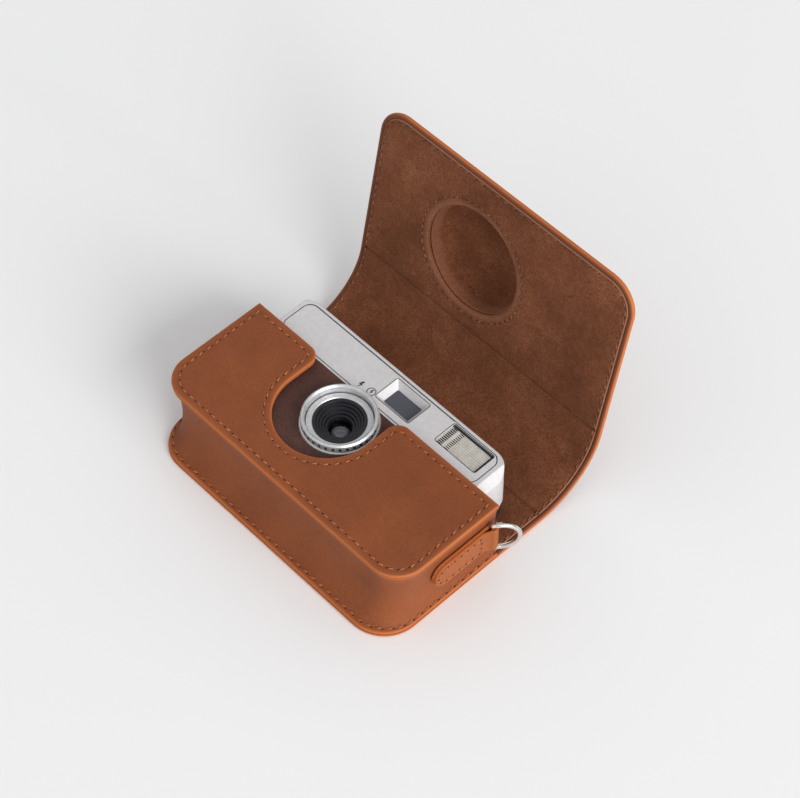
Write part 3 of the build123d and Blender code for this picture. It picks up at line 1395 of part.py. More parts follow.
with BuildPart() as battery_cover:
    block(
        (
            BATTERY_X - BATTERY_DOOR[0] / 2 + 0.1,
            CAM_END_Y,
            BATTERY_Z - BATTERY_DOOR[1] / 2 + 0.1,
        ),
        (
            BATTERY_X + BATTERY_DOOR[0] / 2 - 0.1,
            FLOOR_Y,
            BATTERY_Z + BATTERY_DOOR[1] / 2 - 0.1,
        ),
    )
    # grip ridges
    for ridge in range(4):
        ridge_x = BATTERY_X - 2.7 + 1.8 * ridge
        block(
            (ridge_x - 0.4, CAM_END_Y - 0.3, BATTERY_Z - 4),
            (ridge_x + 0.4, CAM_END_Y, BATTERY_Z + 4),
        )
keep(battery_cover, "battery_cover")
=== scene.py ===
import json
from math import cos, pi, radians, sin

import bmesh
import bpy
import numpy as np
from mathutils import Matrix, Vector


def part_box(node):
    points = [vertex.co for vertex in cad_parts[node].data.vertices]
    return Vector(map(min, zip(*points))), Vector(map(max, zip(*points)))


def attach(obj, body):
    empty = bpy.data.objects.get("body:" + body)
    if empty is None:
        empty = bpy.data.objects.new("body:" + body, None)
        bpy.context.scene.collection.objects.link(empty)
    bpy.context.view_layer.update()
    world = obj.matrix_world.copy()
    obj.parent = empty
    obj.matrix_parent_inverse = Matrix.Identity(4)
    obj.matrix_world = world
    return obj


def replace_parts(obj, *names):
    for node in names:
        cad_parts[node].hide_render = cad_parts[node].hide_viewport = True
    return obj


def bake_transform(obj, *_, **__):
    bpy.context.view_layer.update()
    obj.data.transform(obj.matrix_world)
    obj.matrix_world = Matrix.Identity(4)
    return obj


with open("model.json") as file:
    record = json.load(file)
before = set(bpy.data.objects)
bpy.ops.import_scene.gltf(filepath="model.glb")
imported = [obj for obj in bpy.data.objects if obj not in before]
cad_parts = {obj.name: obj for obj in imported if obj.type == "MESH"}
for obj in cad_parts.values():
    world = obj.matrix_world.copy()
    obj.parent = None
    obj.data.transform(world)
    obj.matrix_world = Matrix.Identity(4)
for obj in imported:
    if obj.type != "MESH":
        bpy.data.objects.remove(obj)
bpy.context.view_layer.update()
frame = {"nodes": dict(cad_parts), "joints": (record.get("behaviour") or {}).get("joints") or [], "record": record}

# Half frame camera in its stitched leather case, the suede lined flap standing open.
# Shapes are worked out in millimetres on the frame's own axes and become metres in the meshes.

MM = 0.001
WELD = 2e-6


def span(node):
    """The low and high corners of a CAD node's box, in millimetres."""
    low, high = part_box(node)
    return np.array(low) / MM, np.array(high) / MM


def joint_place(name):
    """Where a joint's axis stands, in millimetres."""
    return np.array(next(j["pos_m"] for j in frame["joints"] if j["name"] == name)) / MM


# ------ sizes (mm)

BACK_LOW, BACK_HIGH = span("case_back_panel")
PANEL_LOW, PANEL_HIGH = span("case_front_panel")
UNDER_TOP_Z = span("front_panel_lining")[1][2]
FOLD = joint_place("strip_fold")
RING_BAR = joint_place("d_ring_right_swing")
LENS_AXIS = joint_place("lens_ring_turn")
FACE_Z = span("front_shell")[1][2]

# the case: a flat back, a rolled strip and a straight flap, on one suede face
CASE_HALF = BACK_HIGH[0]
BACK_R = 15.4
FLAP_R = 12.5
FLAP_L = 69.7
ROLL_R = 28.0
ROLL_ANGLE = radians(78.6)
ROLL_L = ROLL_R * ROLL_ANGLE
CREASE_S = ROLL_L + 2.4
FLAP_END_S = CREASE_S + FLAP_L
BACK_END_S = BACK_LOW[1] - FOLD[1]
SEAM_S = ROLL_L / 2
STACK_T = FOLD[2]
LINING_T = 1.0
LEATHER_IN = 1.05
CREASE_DIP = 0.3
CREASE_W = 0.55
FOLD_SPAN = 6.0
CREASE_SPAN = 4.0
POCKET_MOUTH_Y = 17.0
TURNED = 1.9

# seams: how far they stand in from the edge, the thread and its needle holes
STITCH_IN = 3.0
PITCH = 4.0
SHORT_PITCH = 3.2
INNER_SEAM_DEPTH = 0.13
OUTER_SEAM_DEPTH = 2.3
THREAD_R = 0.3
THREAD_SHARE = 0.52
THREAD_SLANT = 0.16
THREAD_LIFT = 0.14
HOLE_R = 0.48

# the dome that the lens goes into when the flap is shut
DOME_X = -9.5
DOME_S = CREASE_S + 31.0
DOME_SEAM_R = 25.4
DOME_BLOCK = 26.0

# the front panel and its cut
PANEL_R = 12.5
CUT_X = -8.6
CUT_Y = 0.8
CUT_R = 20.3
TIP_R = 5.6

# details on the camera's face
GRIP_RADII = (13.6, 14.2)
GRIP_LOW_Z = 32.0
GRIP_HIGH_Z = 34.0
FINDER_WELL = (17.1, 11.4)
# widths of the painted shade lines in the window grooves and round the lens bezel
GROOVE_SHADE_W = 0.3
BEZEL_SHADE_W = 0.34
BOLT_PLACE = (-11.7, 20.0)
RINGED_BOLT_PLACE = (-6.5, 20.4)
MARK_T = 0.03
FLASH_RIBS = 11
PLAIN_FLASH_W = 6.2
WELL_SHADE_W = 0.75


# ------ meshes


def grid_faces(rows, cols, ring=False):
    """Quads of a grid of points; with ring, the last column joins the first."""
    i, j = np.meshgrid(np.arange(rows - 1), np.arange(cols if ring else cols - 1), indexing="ij")
    k = (j + 1) % cols
    return np.stack([i * cols + j, i * cols + k, (i + 1) * cols + k, (i + 1) * cols + j], -1)


def grid_patch(points, ring=False, keep=None, finish=0):
    """A patch from rows by columns of points; keep, where given, says which quads stay."""
    faces = grid_faces(*points.shape[:2], ring=ring)
    if keep is not None:
        faces = faces[keep]
    return points.reshape(-1, points.shape[-1]), faces.reshape(-1, 4).tolist(), finish


def cap_patch(loop, finish=0):
    """One flat face that closes a loop of points."""
    return loop, [list(range(len(loop)))], finish


def at_height(flat, height):
    """Flat points, all at one height."""
    return np.c_[flat, np.full(len(flat), height)]


def with_rim(points, wear_and_crease_shade=0.0):
    """Points with the edge wear that goes with them as a fourth number; on the suede, painted crease shade is
    added to this number later.
    """
    wear_and_shade = np.broadcast_to(wear_and_crease_shade, points.shape[:-1])[..., None]
    return np.concatenate([points, wear_and_shade], -1)


def build(name, patches, finishes, sharp=50.0):
    """One closed mesh from patches: points that meet are welded and faces turned outwards."""
    starts = np.cumsum([0] + [len(points) for points, _, _ in patches])
    points = np.concatenate([points for points, _, _ in patches])
    faces = [[int(v + start) for v in face] for (_, fs, _), start in zip(patches, starts) for face in fs]
    mesh = bpy.data.meshes.new(name)
    mesh.from_pydata((points[:, :3] * MM).tolist(), [], faces)
    wear_and_shade = mesh.attributes.new("wear_and_crease_shade", "FLOAT", "POINT")
    wear_and_shade.data.foreach_set("value", points[:, 3].astype(np.float32))
    index = np.repeat([f for _, _, f in patches], [len(fs) for _, fs, _ in patches])
    mesh.polygons.foreach_set("material_index", index.astype(np.int32))
    mesh.polygons.foreach_set("use_smooth", np.ones(len(faces), bool))
    work = bmesh.new()
    work.from_mesh(mesh)
    bmesh.ops.remove_doubles(work, verts=work.verts, dist=WELD)
    bmesh.ops.dissolve_degenerate(work, edges=work.edges, dist=WELD)
    bmesh.ops.recalc_face_normals(work, faces=work.faces)
    work.to_mesh(mesh)
    work.free()
    mesh.set_sharp_from_angle(angle=radians(sharp))
    for finish in finishes:
        mesh.materials.append(finish)
    piece = bpy.data.objects.new(name, mesh)
    bpy.context.scene.collection.objects.link(piece)
    return piece


# ------ the sheet from back to flap


def on_sheet(x, s, depth):
    """A point on the long sheet: flat back, then a roll of ROLL_R, then the straight flap.
    s runs along the suede face from the first fold, depth goes outwards from that face."""
    turned = np.clip(s, 0, ROLL_L)
    angle = turned / ROLL_R
    run = s - turned
    y = FOLD[1] + (ROLL_R + depth) * np.sin(angle) + run * np.cos(angle)
    z = STACK_T + ROLL_R - (ROLL_R + depth) * np.cos(angle) + run * np.sin(angle)
    return np.stack(np.broadcast_arrays(x, y, z), -1)


def sheet_rows(low, high, low_r, high_r, half, inner):
    """The right edge of a sheet from low to high: quarter arcs at its round ends, and the given
    places between. Returns x, s and how both move for each millimetre that the edge moves in."""
    turn = np.radians(np.linspace(0, 90, 13))
    x, s, dx, ds = [], [], [], []
    if low_r:
        x.append(half - low_r + low_r * np.sin(turn))
        s.append(low + low_r - low_r * np.cos(turn))
        dx.append(-np.sin(turn))
        ds.append(np.cos(turn))
    else:
        inner = np.concatenate([[low], inner])
    if not high_r:
        inner = np.concatenate([inner, [high]])
    x.append(np.full(len(inner), half))
    s.append(np.array(inner))
    dx.append(np.full(len(inner), -1.0))
    ds.append(np.zeros(len(inner)))
    if high_r:
        x.append(half - high_r + high_r * np.sin(turn[::-1]))
        s.append(high - high_r + high_r * np.cos(turn[::-1]))
        dx.append(-np.sin(turn[::-1]))
        ds.append(-np.cos(turn[::-1]))
    return [np.concatenate(part) for part in (x, s, dx, ds)]


def border(grid):
    """The closed loop of points round the rim of a grid."""
    return np.concatenate([grid[0], grid[1:, -1], grid[-1, -2::-1], grid[-2:0:-1, 0]])


def sheet_patches(rows, columns, profile, place, hole=()):
    """A slab whose edge profile (inset, depth, wear) is carried round the sheet's rim, with a grid
    over each face. A hole is a list of (radius, depth, wear) that leads from face to face."""
    x, s, dx, ds = rows

    def level(inset, depth, wear_and_shade):
        across = (x + inset * dx)[:, None] * (2 * columns - 1)[None, :]
        along = np.broadcast_to((s + inset * ds)[:, None], across.shape)
        return with_rim(np.stack([across, along, np.full(across.shape, depth)], -1), wear_and_shade)

    rings = np.stack([border(level(*step)) for step in profile])
    faces = [level(*profile[0]), level(*profile[-1])]
    keep = None
    patches = []
    if hole:
        middle = faces[0][:-1, :-1, :2] / 2 + faces[0][1:, 1:, :2] / 2
        inside = np.abs(middle - (DOME_X, DOME_S)).max(-1) < DOME_BLOCK
        keep = ~inside
        held_rows, held_cols = np.where(inside.any(1))[0], np.where(inside.any(0))[0]
        cut = (slice(held_rows[0], held_rows[-1] + 2), slice(held_cols[0], held_cols[-1] + 2))
        square = border(faces[0][cut])
        angle = np.arctan2(square[:, 1] - DOME_S, square[:, 0] - DOME_X)
        loops = [square]
        for radius, depth, wear_and_shade in hole:
            round_x, round_s = DOME_X + radius * np.cos(angle), DOME_S + radius * np.sin(angle)
            flat = np.stack([round_x, round_s, np.full(len(angle), depth)], -1)
            loops.append(with_rim(flat, wear_and_shade))
        loops.append(border(faces[1][cut]))
        patches.append(grid_patch(np.stack(loops), ring=True))
    patches.append(grid_patch(rings, ring=True))
    patches += [grid_patch(face, keep=keep) for face in faces]
    return [(place(points), fs, finish) for points, fs, finish in patches]


def lay_on_sheet(points):
    """Takes (x, s, depth) to its place on the sheet; the wear stays."""
    return np.concatenate([on_sheet(points[:, 0], points[:, 1], points[:, 2]), points[:, 3:]], -1)


def lay_under_pocket(points):
    """As lay_on_sheet, with the turned edge pressed flat where the pocket is sewn on it."""
    pressed = np.clip((POCKET_MOUTH_Y - FOLD[1] - points[:, 1]) / 1.5, 0, 1) * LEATHER_IN
    points = points.copy()
    points[:, 2] = np.maximum(points[:, 2], pressed)
    return lay_on_sheet(points)


def lay_creased(points):
    """As lay_on_sheet, with the suede pressed in along both folds as a Gaussian, and painted shade darkening it in
    these creases.
    """
    points = points.copy()
    face = points[:, 2] < LINING_T / 4
    for fold_s in (0.0, CREASE_S):
        crease_dip_and_shade = np.where(face, np.exp(-(((points[:, 1] - fold_s) / CREASE_W) ** 2)), 0)
        points[:, 2] += CREASE_DIP * crease_dip_and_shade
        # painted shade in the creases: the fourth number is lowered, which darkens the suede there
        points[:, 3] -= crease_dip_and_shade
    return lay_on_sheet(points)


# inset, depth and wear along the leather's edge, from its inner face round to its outer face;
# the wear is 1 where the edge is burnished bright and -1 where the turned-in leather is dark
LEATHER_EDGE = (
    (4.0, LEATHER_IN, 0), (2.1, LEATHER_IN, -1), (1.9, 0.5, -1), (1.6, 0.24, -1), (1.1, 0.16, -1),
    (0.6, 0.27, -0.6), (0.3, 0.5, 0.2), (0.1, 0.8, 1), (0.0, 1.2, 1), (0.0, 1.6, 1), (0.2, 2.05, 0.9),
    (0.6, 2.32, 0.5), (1.1, 2.4, 0.1), (2.4, 2.4, 0), (2.75, 2.34, 0), (3.0, 2.26, 0), (3.25, 2.34, 0),
    (3.6, 2.4, 0), (4.0, 2.4, 0),
)
# the same for the suede lining, which starts inside the turned edge
SUEDE_EDGE = (
    (4.0, 0.0, 0), (3.4, 0.02, 0), (3.15, 0.1, 0), (3.0, 0.17, 0), (2.85, 0.1, 0), (2.5, 0.04, 0),
    (2.3, 0.06, 0.2), (2.15, 0.12, 1), (1.97, 0.4, 1), (1.95, 0.95, 0), (2.1, 1.0, 0), (4.0, 1.0, 0),
)
SUEDE_LIP = (
    (25.95, 0.0, 0), (25.6, 0.05, 0), (25.4, 0.14, 0), (25.2, 0.05, 0), (24.6, 0.0, 0.1),
    (23.6, 0.03, 0.25), (22.8, 0.2, 0.35), (22.2, 0.55, 0.1), (21.95, 0.85, 0), (22.0, 0.97, 0),
    (23.0, 1.0, 0), (25.9, 1.0, 0),
)
LEATHER_LIP = ((25.9, LEATHER_IN, 0), (23.2, LEATHER_IN, 0), (22.9, 1.3, 0), (22.9, 2.3, 0), (25.9, 2.4, 0))

FOLD_STEPS = np.array([-3.2, -1.6, -0.9, -0.5, -0.25, 0, 0.25, 0.5, 0.9, 1.6, 3.2])


def columns_of(half, inset):
    """Column places across the sheet as shares of its width, on the sides of the dome's block too."""
    marks = np.array([DOME_X - DOME_BLOCK, DOME_X + DOME_BLOCK])
    edge = half - inset
    left, block = np.linspace(-edge, marks[0], 9), np.linspace(marks[0], marks[1], 19)
    runs = np.concatenate([left, block, np.linspace(marks[1], edge, 12)])
    return (np.unique(runs.round(6)) + edge) / (2 * edge)


def first_rows(low, low_r, half):
    """Rows from the back's round end over the first fold to the seam in the middle of the roll."""
    flat = np.arange(low + low_r + 5, -4, 5)
    roll = np.linspace(4.5, SEAM_S, 10)[:-1]
    return sheet_rows(low, SEAM_S, low_r, 0, half, np.concatenate([flat, FOLD_STEPS, roll]))


def second_rows(high, high_r, half):
    """Rows from the seam in the middle of the roll over the crease to the flap's round end."""
    roll = np.linspace(SEAM_S, CREASE_S - 4, 10)[1:]
    block = np.linspace(DOME_S - DOME_BLOCK, DOME_S + DOME_BLOCK, 19)
    rows = np.concatenate([roll, CREASE_S + FOLD_STEPS, block])
    return sheet_rows(SEAM_S, high, 0, high_r, half, rows)


# ------ flat outlines


def arc(centre, radius, start, end, steps=14):
    """Points of an arc from start to end, in degrees."""
    angle = np.radians(np.linspace(start, end, steps + 1))
    return np.stack([centre[0] + radius * np.cos(angle), centre[1] + radius * np.sin(angle)], -1)


def moved_in(outline, inset):
    """A closed outline that runs anticlockwise, moved in along its mitred normals."""
    ahead = np.roll(outline, -1, 0) - outline
    ahead /= np.linalg.norm(ahead, axis=1)[:, None]
    after = np.stack([-ahead[:, 1], ahead[:, 0]], -1)
    before = np.roll(after, 1, 0)
    mitre = (before + after) / (1 + (before * after).sum(1))[:, None]
    return outline + inset * mitre


def front_outline():
    """The front panel: round lower corners, a square mouth and a U-shaped cut with round tips."""
    low, high = PANEL_LOW[:2], PANEL_HIGH[:2]
    tip_y = high[1] - TIP_R
    return np.concatenate([
        arc((low[0] + PANEL_R, low[1] + PANEL_R), PANEL_R, 180, 270),
        arc((high[0] - PANEL_R, low[1] + PANEL_R), PANEL_R, 270, 360),
        [(high[0], high[1])],
        arc((CUT_X + CUT_R + TIP_R, tip_y), TIP_R, 90, 180),
        arc((CUT_X, CUT_Y), CUT_R, 0, -180, 40),
        arc((CUT_X - CUT_R - TIP_R, tip_y), TIP_R, 0, 90),
        [(low[0], high[1])],
    ])


def floor_outline(half, end_y, corner_r, head_y):
    """A plate with two round corners at its far end and a straight head."""
    return np.concatenate([
        arc((-half + corner_r, end_y + corner_r), corner_r, 180, 270),
        arc((half - corner_r, end_y + corner_r), corner_r, 270, 360),
        [(half, head_y), (-half, head_y)],
    ])


def plate_patches(outline, profile, top_z):
    """A plate whose edge profile (inset, depth below the top, wear) follows its outline."""
    loops = []
    for inset, depth, wear_and_shade in profile:
        flat = moved_in(outline, inset)
        loops.append(with_rim(at_height(flat, top_z - depth), wear_and_shade))
    return [grid_patch(np.stack(loops), ring=True), cap_patch(loops[0]), cap_patch(loops[-1])]


# the front panel's leather, and the second layer that its edge is sewn to
PANEL_EDGE = (
    (4.2, 1.38, -1), (1.1, 1.38, -1), (0.55, 1.3, -0.9), (0.12, 1.1, 0.2), (0.0, 0.75, 1), (0.08, 0.36, 1),
    (0.35, 0.08, 0.7), (0.8, 0.0, 0.2), (2.3, 0.0, 0), (2.7, 0.06, 0), (3.0, 0.15, 0), (3.3, 0.06, 0),
    (3.7, 0.0, 0), (4.2, 0.0, 0),
)
UNDER_EDGE = (
    (4.2, 0.97, 0), (0.5, 0.97, 0), (0.22, 0.8, 0.6), (0.15, 0.55, 1), (0.25, 0.3, 0.6), (0.7, 0.05, -1),
    (1.2, 0.0, -1), (4.2, 0.0, -1),
)
FLOOR_EDGE = ((2.0, 0.9, 0), (0.2, 0.9, 0), (0.0, 0.6, 0), (0.1, 0.2, 0), (0.5, 0.0, 0), (2.0, 0.0, 0))


# ------ the gusset

GUSSET_T = 1.2
# height, half width, far end and corner radius down the wall, whose foot flares out flat
WALL_LEVELS = (
    (32.58, 61.95, -32.0, 11.5), (30.5, 61.85, -31.9, 11.4), (26.5, 61.35, -31.45, 11.2),
    (22.0, 61.0, -31.15, 11.0), (18.0, 60.85, -31.2, 11.0), (14.0, 60.7, -31.7, 11.2),
    (10.5, 60.6, -32.6, 11.6), (7.8, 60.6, -33.7, 12.1), (5.8, 60.75, -34.9, 12.7),
    (4.4, 61.05, -36.0, 13.2), (3.5, 61.4, -36.9, 13.7), (3.0, 61.75, -37.7, 14.1),
    (2.75, 62.05, -38.4, 14.4), (2.68, 62.4, -39.1, 14.7), (2.55, 62.72, -39.7, 14.95),
    (2.2, 62.92, -40.0, 15.1), (1.7, 62.95, -40.05, 15.15), (1.45, 62.85, -39.95, 15.05),
)
# half width, far end and corner radius of the seam on the foot, and its height
FOOT_SEAM = (61.95, -38.15, 14.3)
FOOT_SEAM_Z = 2.78
# the edge wear at each of the wall's levels
WALL_WEAR = (0.5, 0.2, 0, 0, 0, 0, 0, 0, 0, 0, 0, 0, 0, 0.2, 0.7, 1, 1, 0.8)


def pocket_line(half, end_y, corner_r):
    """The pocket's U from its right mouth round the far end to its left mouth."""
    side = np.linspace(POCKET_MOUTH_Y, end_y + corner_r, 16)[:-1]
    right = np.stack([np.full(len(side), half), side], -1)
    across = np.linspace(half - corner_r, corner_r - half, 26)[1:-1]
    foot = np.stack([across, np.full(len(across), end_y)], -1)
    turn = arc((half - corner_r, end_y + corner_r), corner_r, 0, -90)
    back = arc((corner_r - half, end_y + corner_r), corner_r, -90, -180)
    return np.concatenate([right, turn, foot, back, right[::-1] * (-1, 1)])


def pocket_wall(levels):
    """A wall through closed levels (height, half width, far end, radius, wear) round the pocket."""
    rows = []
    for height, half, end_y, corner_r, wear_and_shade in levels:
        line = pocket_line(half, end_y, corner_r)
        rows.append(with_rim(at_height(line, height), wear_and_shade))
    wall = np.stack(rows + rows[:1])
    return [grid_patch(wall), cap_patch(wall[:-1, 0]), cap_patch(wall[:-1, -1])]


def shrunk(levels, inset):
    """The same wall levels moved in."""
    return [(h, half - inset, end_y + inset, corner_r - inset) for h, half, end_y, corner_r in levels]


def gusset_levels():
    """The wall's outer face down to the rim of its foot, then back up its inner face."""
    outer = [level + (wear_and_shade,) for level, wear_and_shade in zip(WALL_LEVELS, WALL_WEAR)]
    inner = [(1.45, 60.5, -36.9, 12.9, 0)]
    inner += [level + (0,) for level in shrunk(WALL_LEVELS[:10], GUSSET_T)[::-1]]
    return outer + inner


def gusset_lining_levels():
    """The suede inside the gusset, from its top down and back up."""
    outer = shrunk(WALL_LEVELS[:10], GUSSET_T + 0.06)
    inner = shrunk(WALL_LEVELS[:10], GUSSET_T + 0.65)
    return [level + (0,) for level in outer] + [level + (0,) for level in inner[::-1]]


# ------ dome


def turned_on_flap(loop, wear_and_shade, steps=72):
    """A closed (radius, depth) loop turned about the dome's axis, square to the flap."""
    angle = np.linspace(0, 2 * pi, steps, endpoint=False)
    radius, depth = np.array(loop).T
    x = DOME_X + radius[:, None] * np.cos(angle)
    s = DOME_S + radius[:, None] * np.sin(angle)
    return with_rim(on_sheet(x, s, np.broadcast_to(depth[:, None], x.shape)), np.array(wear_and_shade)[:, None])


# radius and depth round the cup's section, and then round the dome's
CUP_IN = (
    (26.2, 2.42), (22.75, 2.42), (22.45, 2.2), (22.25, 1.6), (22.0, 1.35), (21.6, 1.6), (21.5, 2.6),
    (21.3, 4.6), (20.9, 6.6), (20.0, 8.4), (18.6, 9.8), (16.6, 10.6), (14.0, 10.95), (9.0, 11.0),
    (4.0, 11.0), (0.0, 11.0), (0.0, 11.75), (14.0, 11.75), (17.0, 11.4), (19.2, 10.4), (20.8, 8.8),
    (21.7, 6.8), (22.1, 4.6), (22.3, 3.2), (26.2, 3.2),
)
DOME_OUT = (
    (23.4, 3.25), (26.6, 3.25), (26.85, 3.6), (26.75, 4.2), (26.3, 4.6), (25.7, 4.62), (25.4, 4.5),
    (25.1, 4.62), (24.6, 4.75), (24.1, 5.3), (23.8, 6.4), (23.3, 8.0), (22.3, 9.9), (20.6, 11.6),
    (18.4, 12.7), (15.8, 13.15), (11.0, 13.25), (5.0, 13.25), (0.0, 13.25), (0.0, 11.85), (14.0, 11.85),
    (17.4, 11.5), (20.0, 10.4), (21.8, 8.6), (22.5, 6.4), (22.8, 4.6),
)


# ------ stitches


def evenly(path, pitch, closed):
    """Places at a whole number of equal steps along a path: where each is, its direction, how far
    along it stands, the path's own distances and the step."""
    line = np.concatenate([path, path[:1]]) if closed else path
    way = np.concatenate([[0], np.cumsum(np.linalg.norm(np.diff(line, axis=0), axis=1))])
    count = max(1, round(way[-1] / pitch))
    step = way[-1] / count
    middle = (np.arange(count) + 0.5) * step

    def at(along):
        return np.stack([np.interp(along, way, line[:, k]) for k in range(3)], -1)

    place = at(middle)
    ahead = at(middle + 0.3) - at(middle - 0.3)
    ahead /= np.linalg.norm(ahead, axis=1)[:, None]
    return place, ahead, middle, way, step


def stitch_form(step):
    """One stitch along x: a tapered round thread that arches by a parabola between its ends."""
    t = np.array([-1, -0.8, -0.4, 0, 0.4, 0.8, 1])
    girth = np.array([0.35, 0.85, 1, 1, 1, 0.85, 0.35]) * THREAD_R
    turn = np.linspace(0, 2 * pi, 7)[:-1]
    x = np.broadcast_to(t[:, None] * step * THREAD_SHARE / 2, (7, 6))
    y = girth[:, None] * np.cos(turn) + t[:, None] * THREAD_SLANT
    z = girth[:, None] * np.sin(turn) + THREAD_LIFT * (1 - 1.9 * t[:, None] ** 2)
    return np.stack([x, y, z], -1)


def hole_form():
    """A needle hole: a shallow round pit, its rim level with the leather; its near-black finish is painted shade
    for a deep hole.
    """
    turn = np.linspace(0, 2 * pi, 9)[:-1]
    rings = [(HOLE_R, 0.035), (HOLE_R * 0.75, 0.06), (HOLE_R * 0.75, -0.25), (HOLE_R, -0.25)]
    loops = [(radius * 1.25 * np.cos(turn), radius * np.sin(turn), np.full(8, h)) for radius, h in rings]
    return np.stack([np.stack(loop, -1) for loop in loops])


def stitch_patches(path, normals, closed=False, pitch=PITCH):
    """Threads and needle holes repeated along a seam, standing on its surface."""
    place, ahead, middle, way, step = evenly(path, pitch, closed)
    line = np.concatenate([normals, normals[:1]]) if closed else normals
    up = np.stack([np.interp(middle, way, line[:, k]) for k in range(3)], -1)
    up -= (up * ahead).sum(1)[:, None] * ahead
    up /= np.linalg.norm(up, axis=1)[:, None]
    side = np.cross(up, ahead)
    patches = []
    for form, shift, finish in (
        (stitch_form(step), 0, 0),
        (hole_form(), -THREAD_SHARE * step / 2 - 0.2, 1),
    ):
        rows, cols = form.shape[:2]
        flat = form.reshape(-1, 3)
        points = (
            (place + shift * ahead)[:, None]
            + flat[None, :, :1] * ahead[:, None]
            + flat[None, :, 1:2] * side[:, None]
            + flat[None, :, 2:] * up[:, None]
        )
        one = grid_faces(rows, cols, ring=True).reshape(-1, 4)
        starts = np.arange(len(place)) * rows * cols
        faces = (one[None] + starts[:, None, None]).reshape(-1, 4).tolist()
        ends = np.stack([np.arange(cols), np.arange(cols) + (rows - 1) * cols])
        faces += (ends[None] + starts[:, None, None]).reshape(-1, cols).tolist()
        patches.append((with_rim(points.reshape(-1, 3)), faces, finish))
    return patches


def sheet_seam(x, s, depth, outward):
    """A seam on the sheet and its surface normals, on the suede side or the outer side."""
    points = on_sheet(x, s, depth)
    above = on_sheet(x, s, depth + (1.0 if outward else -1.0))
    return points, above - points


# ------ finishes


def node(tree, kind, inputs=None, **settings):
    """A shader node with its settings and the values of its inputs."""
    made = tree.nodes.new(kind)
    for key, value in settings.items():
        setattr(made, key, value)
    for key, value in (inputs or {}).items():
        if isinstance(value, bpy.types.NodeSocket):
            tree.links.new(value, made.inputs[key])
        else:
            made.inputs[key].default_value = value
    return made


def finish_base(name, **shader):
    """A new material: its tree, its surface shader and its Object coordinates."""
    material = bpy.data.materials.new(name)
    material.use_nodes = True
    tree = material.node_tree
    surface = tree.nodes["Principled BSDF"]
    for key, value in shader.items():
        surface.inputs[key.replace("_", " ")].default_value = value
    return material, tree, surface, node(tree, "ShaderNodeTexCoord").outputs["Object"]


def noise(tree, where, scale, detail=4.0, roughness=0.55):
    """Noise of a scale in patterns per metre."""
    inputs = {"Vector": where, "Scale": scale, "Detail": detail, "Roughness": roughness}
    return node(tree, "ShaderNodeTexNoise", inputs).outputs["Fac"]


def ramp(tree, factor, *stops):
    """A colour ramp through (place, colour) stops."""
    made = node(tree, "ShaderNodeValToRGB", {"Fac": factor})
    cells = made.color_ramp.elements
    while len(cells) < len(stops):
        cells.new(0.5)
    for cell, (place, colour) in zip(cells, stops):
        cell.position = place
        cell.color = (*colour, 1)
    return made.outputs["Color"]


def mix(tree, factor, low, high, blend="MIX"):
    """Two colours mixed by a factor."""
    made = node(tree, "ShaderNodeMix", data_type="RGBA", blend_type=blend)
    for index, value in ((0, factor), (6, low), (7, high)):
        if isinstance(value, bpy.types.NodeSocket):
            tree.links.new(value, made.inputs[index])
        else:
            made.inputs[index].default_value = (*value, 1) if isinstance(value, tuple) else value
    return made.outputs[2]


def span_of(tree, value, low, high, start=0.0, end=1.0):
    """A value from start to end mapped to low to high."""
    limits = {"Value": value, "From Min": start, "From Max": end, "To Min": low, "To Max": high}
    return node(tree, "ShaderNodeMapRange", limits).outputs["Result"]


def added(tree, a, b, share=1.0):
    """a plus share times b."""
    return node(tree, "ShaderNodeMath", {0: b, 1: share, 2: a}, operation="MULTIPLY_ADD").outputs["Value"]


def times(tree, a, b):
    """a times b."""
    return node(tree, "ShaderNodeMath", {0: a, 1: b}, operation="MULTIPLY").outputs["Value"]


def between(tree, value, low, high, fade):
    """1 where a length in metres lies between two in millimetres, with a fade inside each end."""
    start = span_of(tree, value, 0.0, 1.0, low * MM, (low + fade) * MM)
    return times(tree, start, span_of(tree, value, 1.0, 0.0, (high - fade) * MM, high * MM))


def bump(tree, surface, height, strength, distance):
    """Raises the surface by a height pattern, distance in metres."""
    made = node(tree, "ShaderNodeBump", {"Height": height, "Strength": strength, "Distance": distance})
    tree.links.new(made.outputs["Normal"], surface.inputs["Normal"])


def wear_and_shade(tree):
    """The edge wear stored in the mesh, which on the suede also holds the painted shade along the folds."""
    return node(tree, "ShaderNodeAttribute", attribute_name="wear_and_crease_shade").outputs["Fac"]


def tan_leather(name, deep, mid, light, edge, turned):
    """Pebbled leather: small cells with creases between, soft blotches, burnished bright edges
    and a darker turned-in border."""
    material, tree, surface, where = finish_base(name, Specular_IOR_Level=0.3)
    cells = node(tree, "ShaderNodeTexVoronoi", {"Vector": where, "Scale": 1150.0}, feature="DISTANCE_TO_EDGE")
    creases = ramp(tree, cells.outputs["Distance"], (0.0, (0, 0, 0)), (0.22, (1, 1, 1)))
    blotch = noise(tree, where, 45, 5)
    fine = noise(tree, where, 1300, 3)
    colour = ramp(tree, blotch, (0.3, deep), (0.5, mid), (0.72, light))
    colour = mix(tree, span_of(tree, fine, 0.32, 0.0, 0.35, 0.6), colour, tuple(0.7 * c for c in deep))
    colour = mix(tree, span_of(tree, creases, 0.2, 0.0), colour, tuple(0.5 * c for c in deep))
    wear_and_crease_shade = wear_and_shade(tree)
    colour = mix(tree, wear_and_crease_shade, colour, edge)
    colour = mix(tree, span_of(tree, wear_and_crease_shade, 1.0, 0.0, -1.0, 0.0), colour, turned)
    tree.links.new(colour, surface.inputs["Base Color"])
    tree.links.new(span_of(tree, added(tree, blotch, fine, 0.6), 0.46, 0.7), surface.inputs["Roughness"])
    bump(tree, surface, added(tree, creases, fine, 0.8), 0.4, 0.00012)
    return material


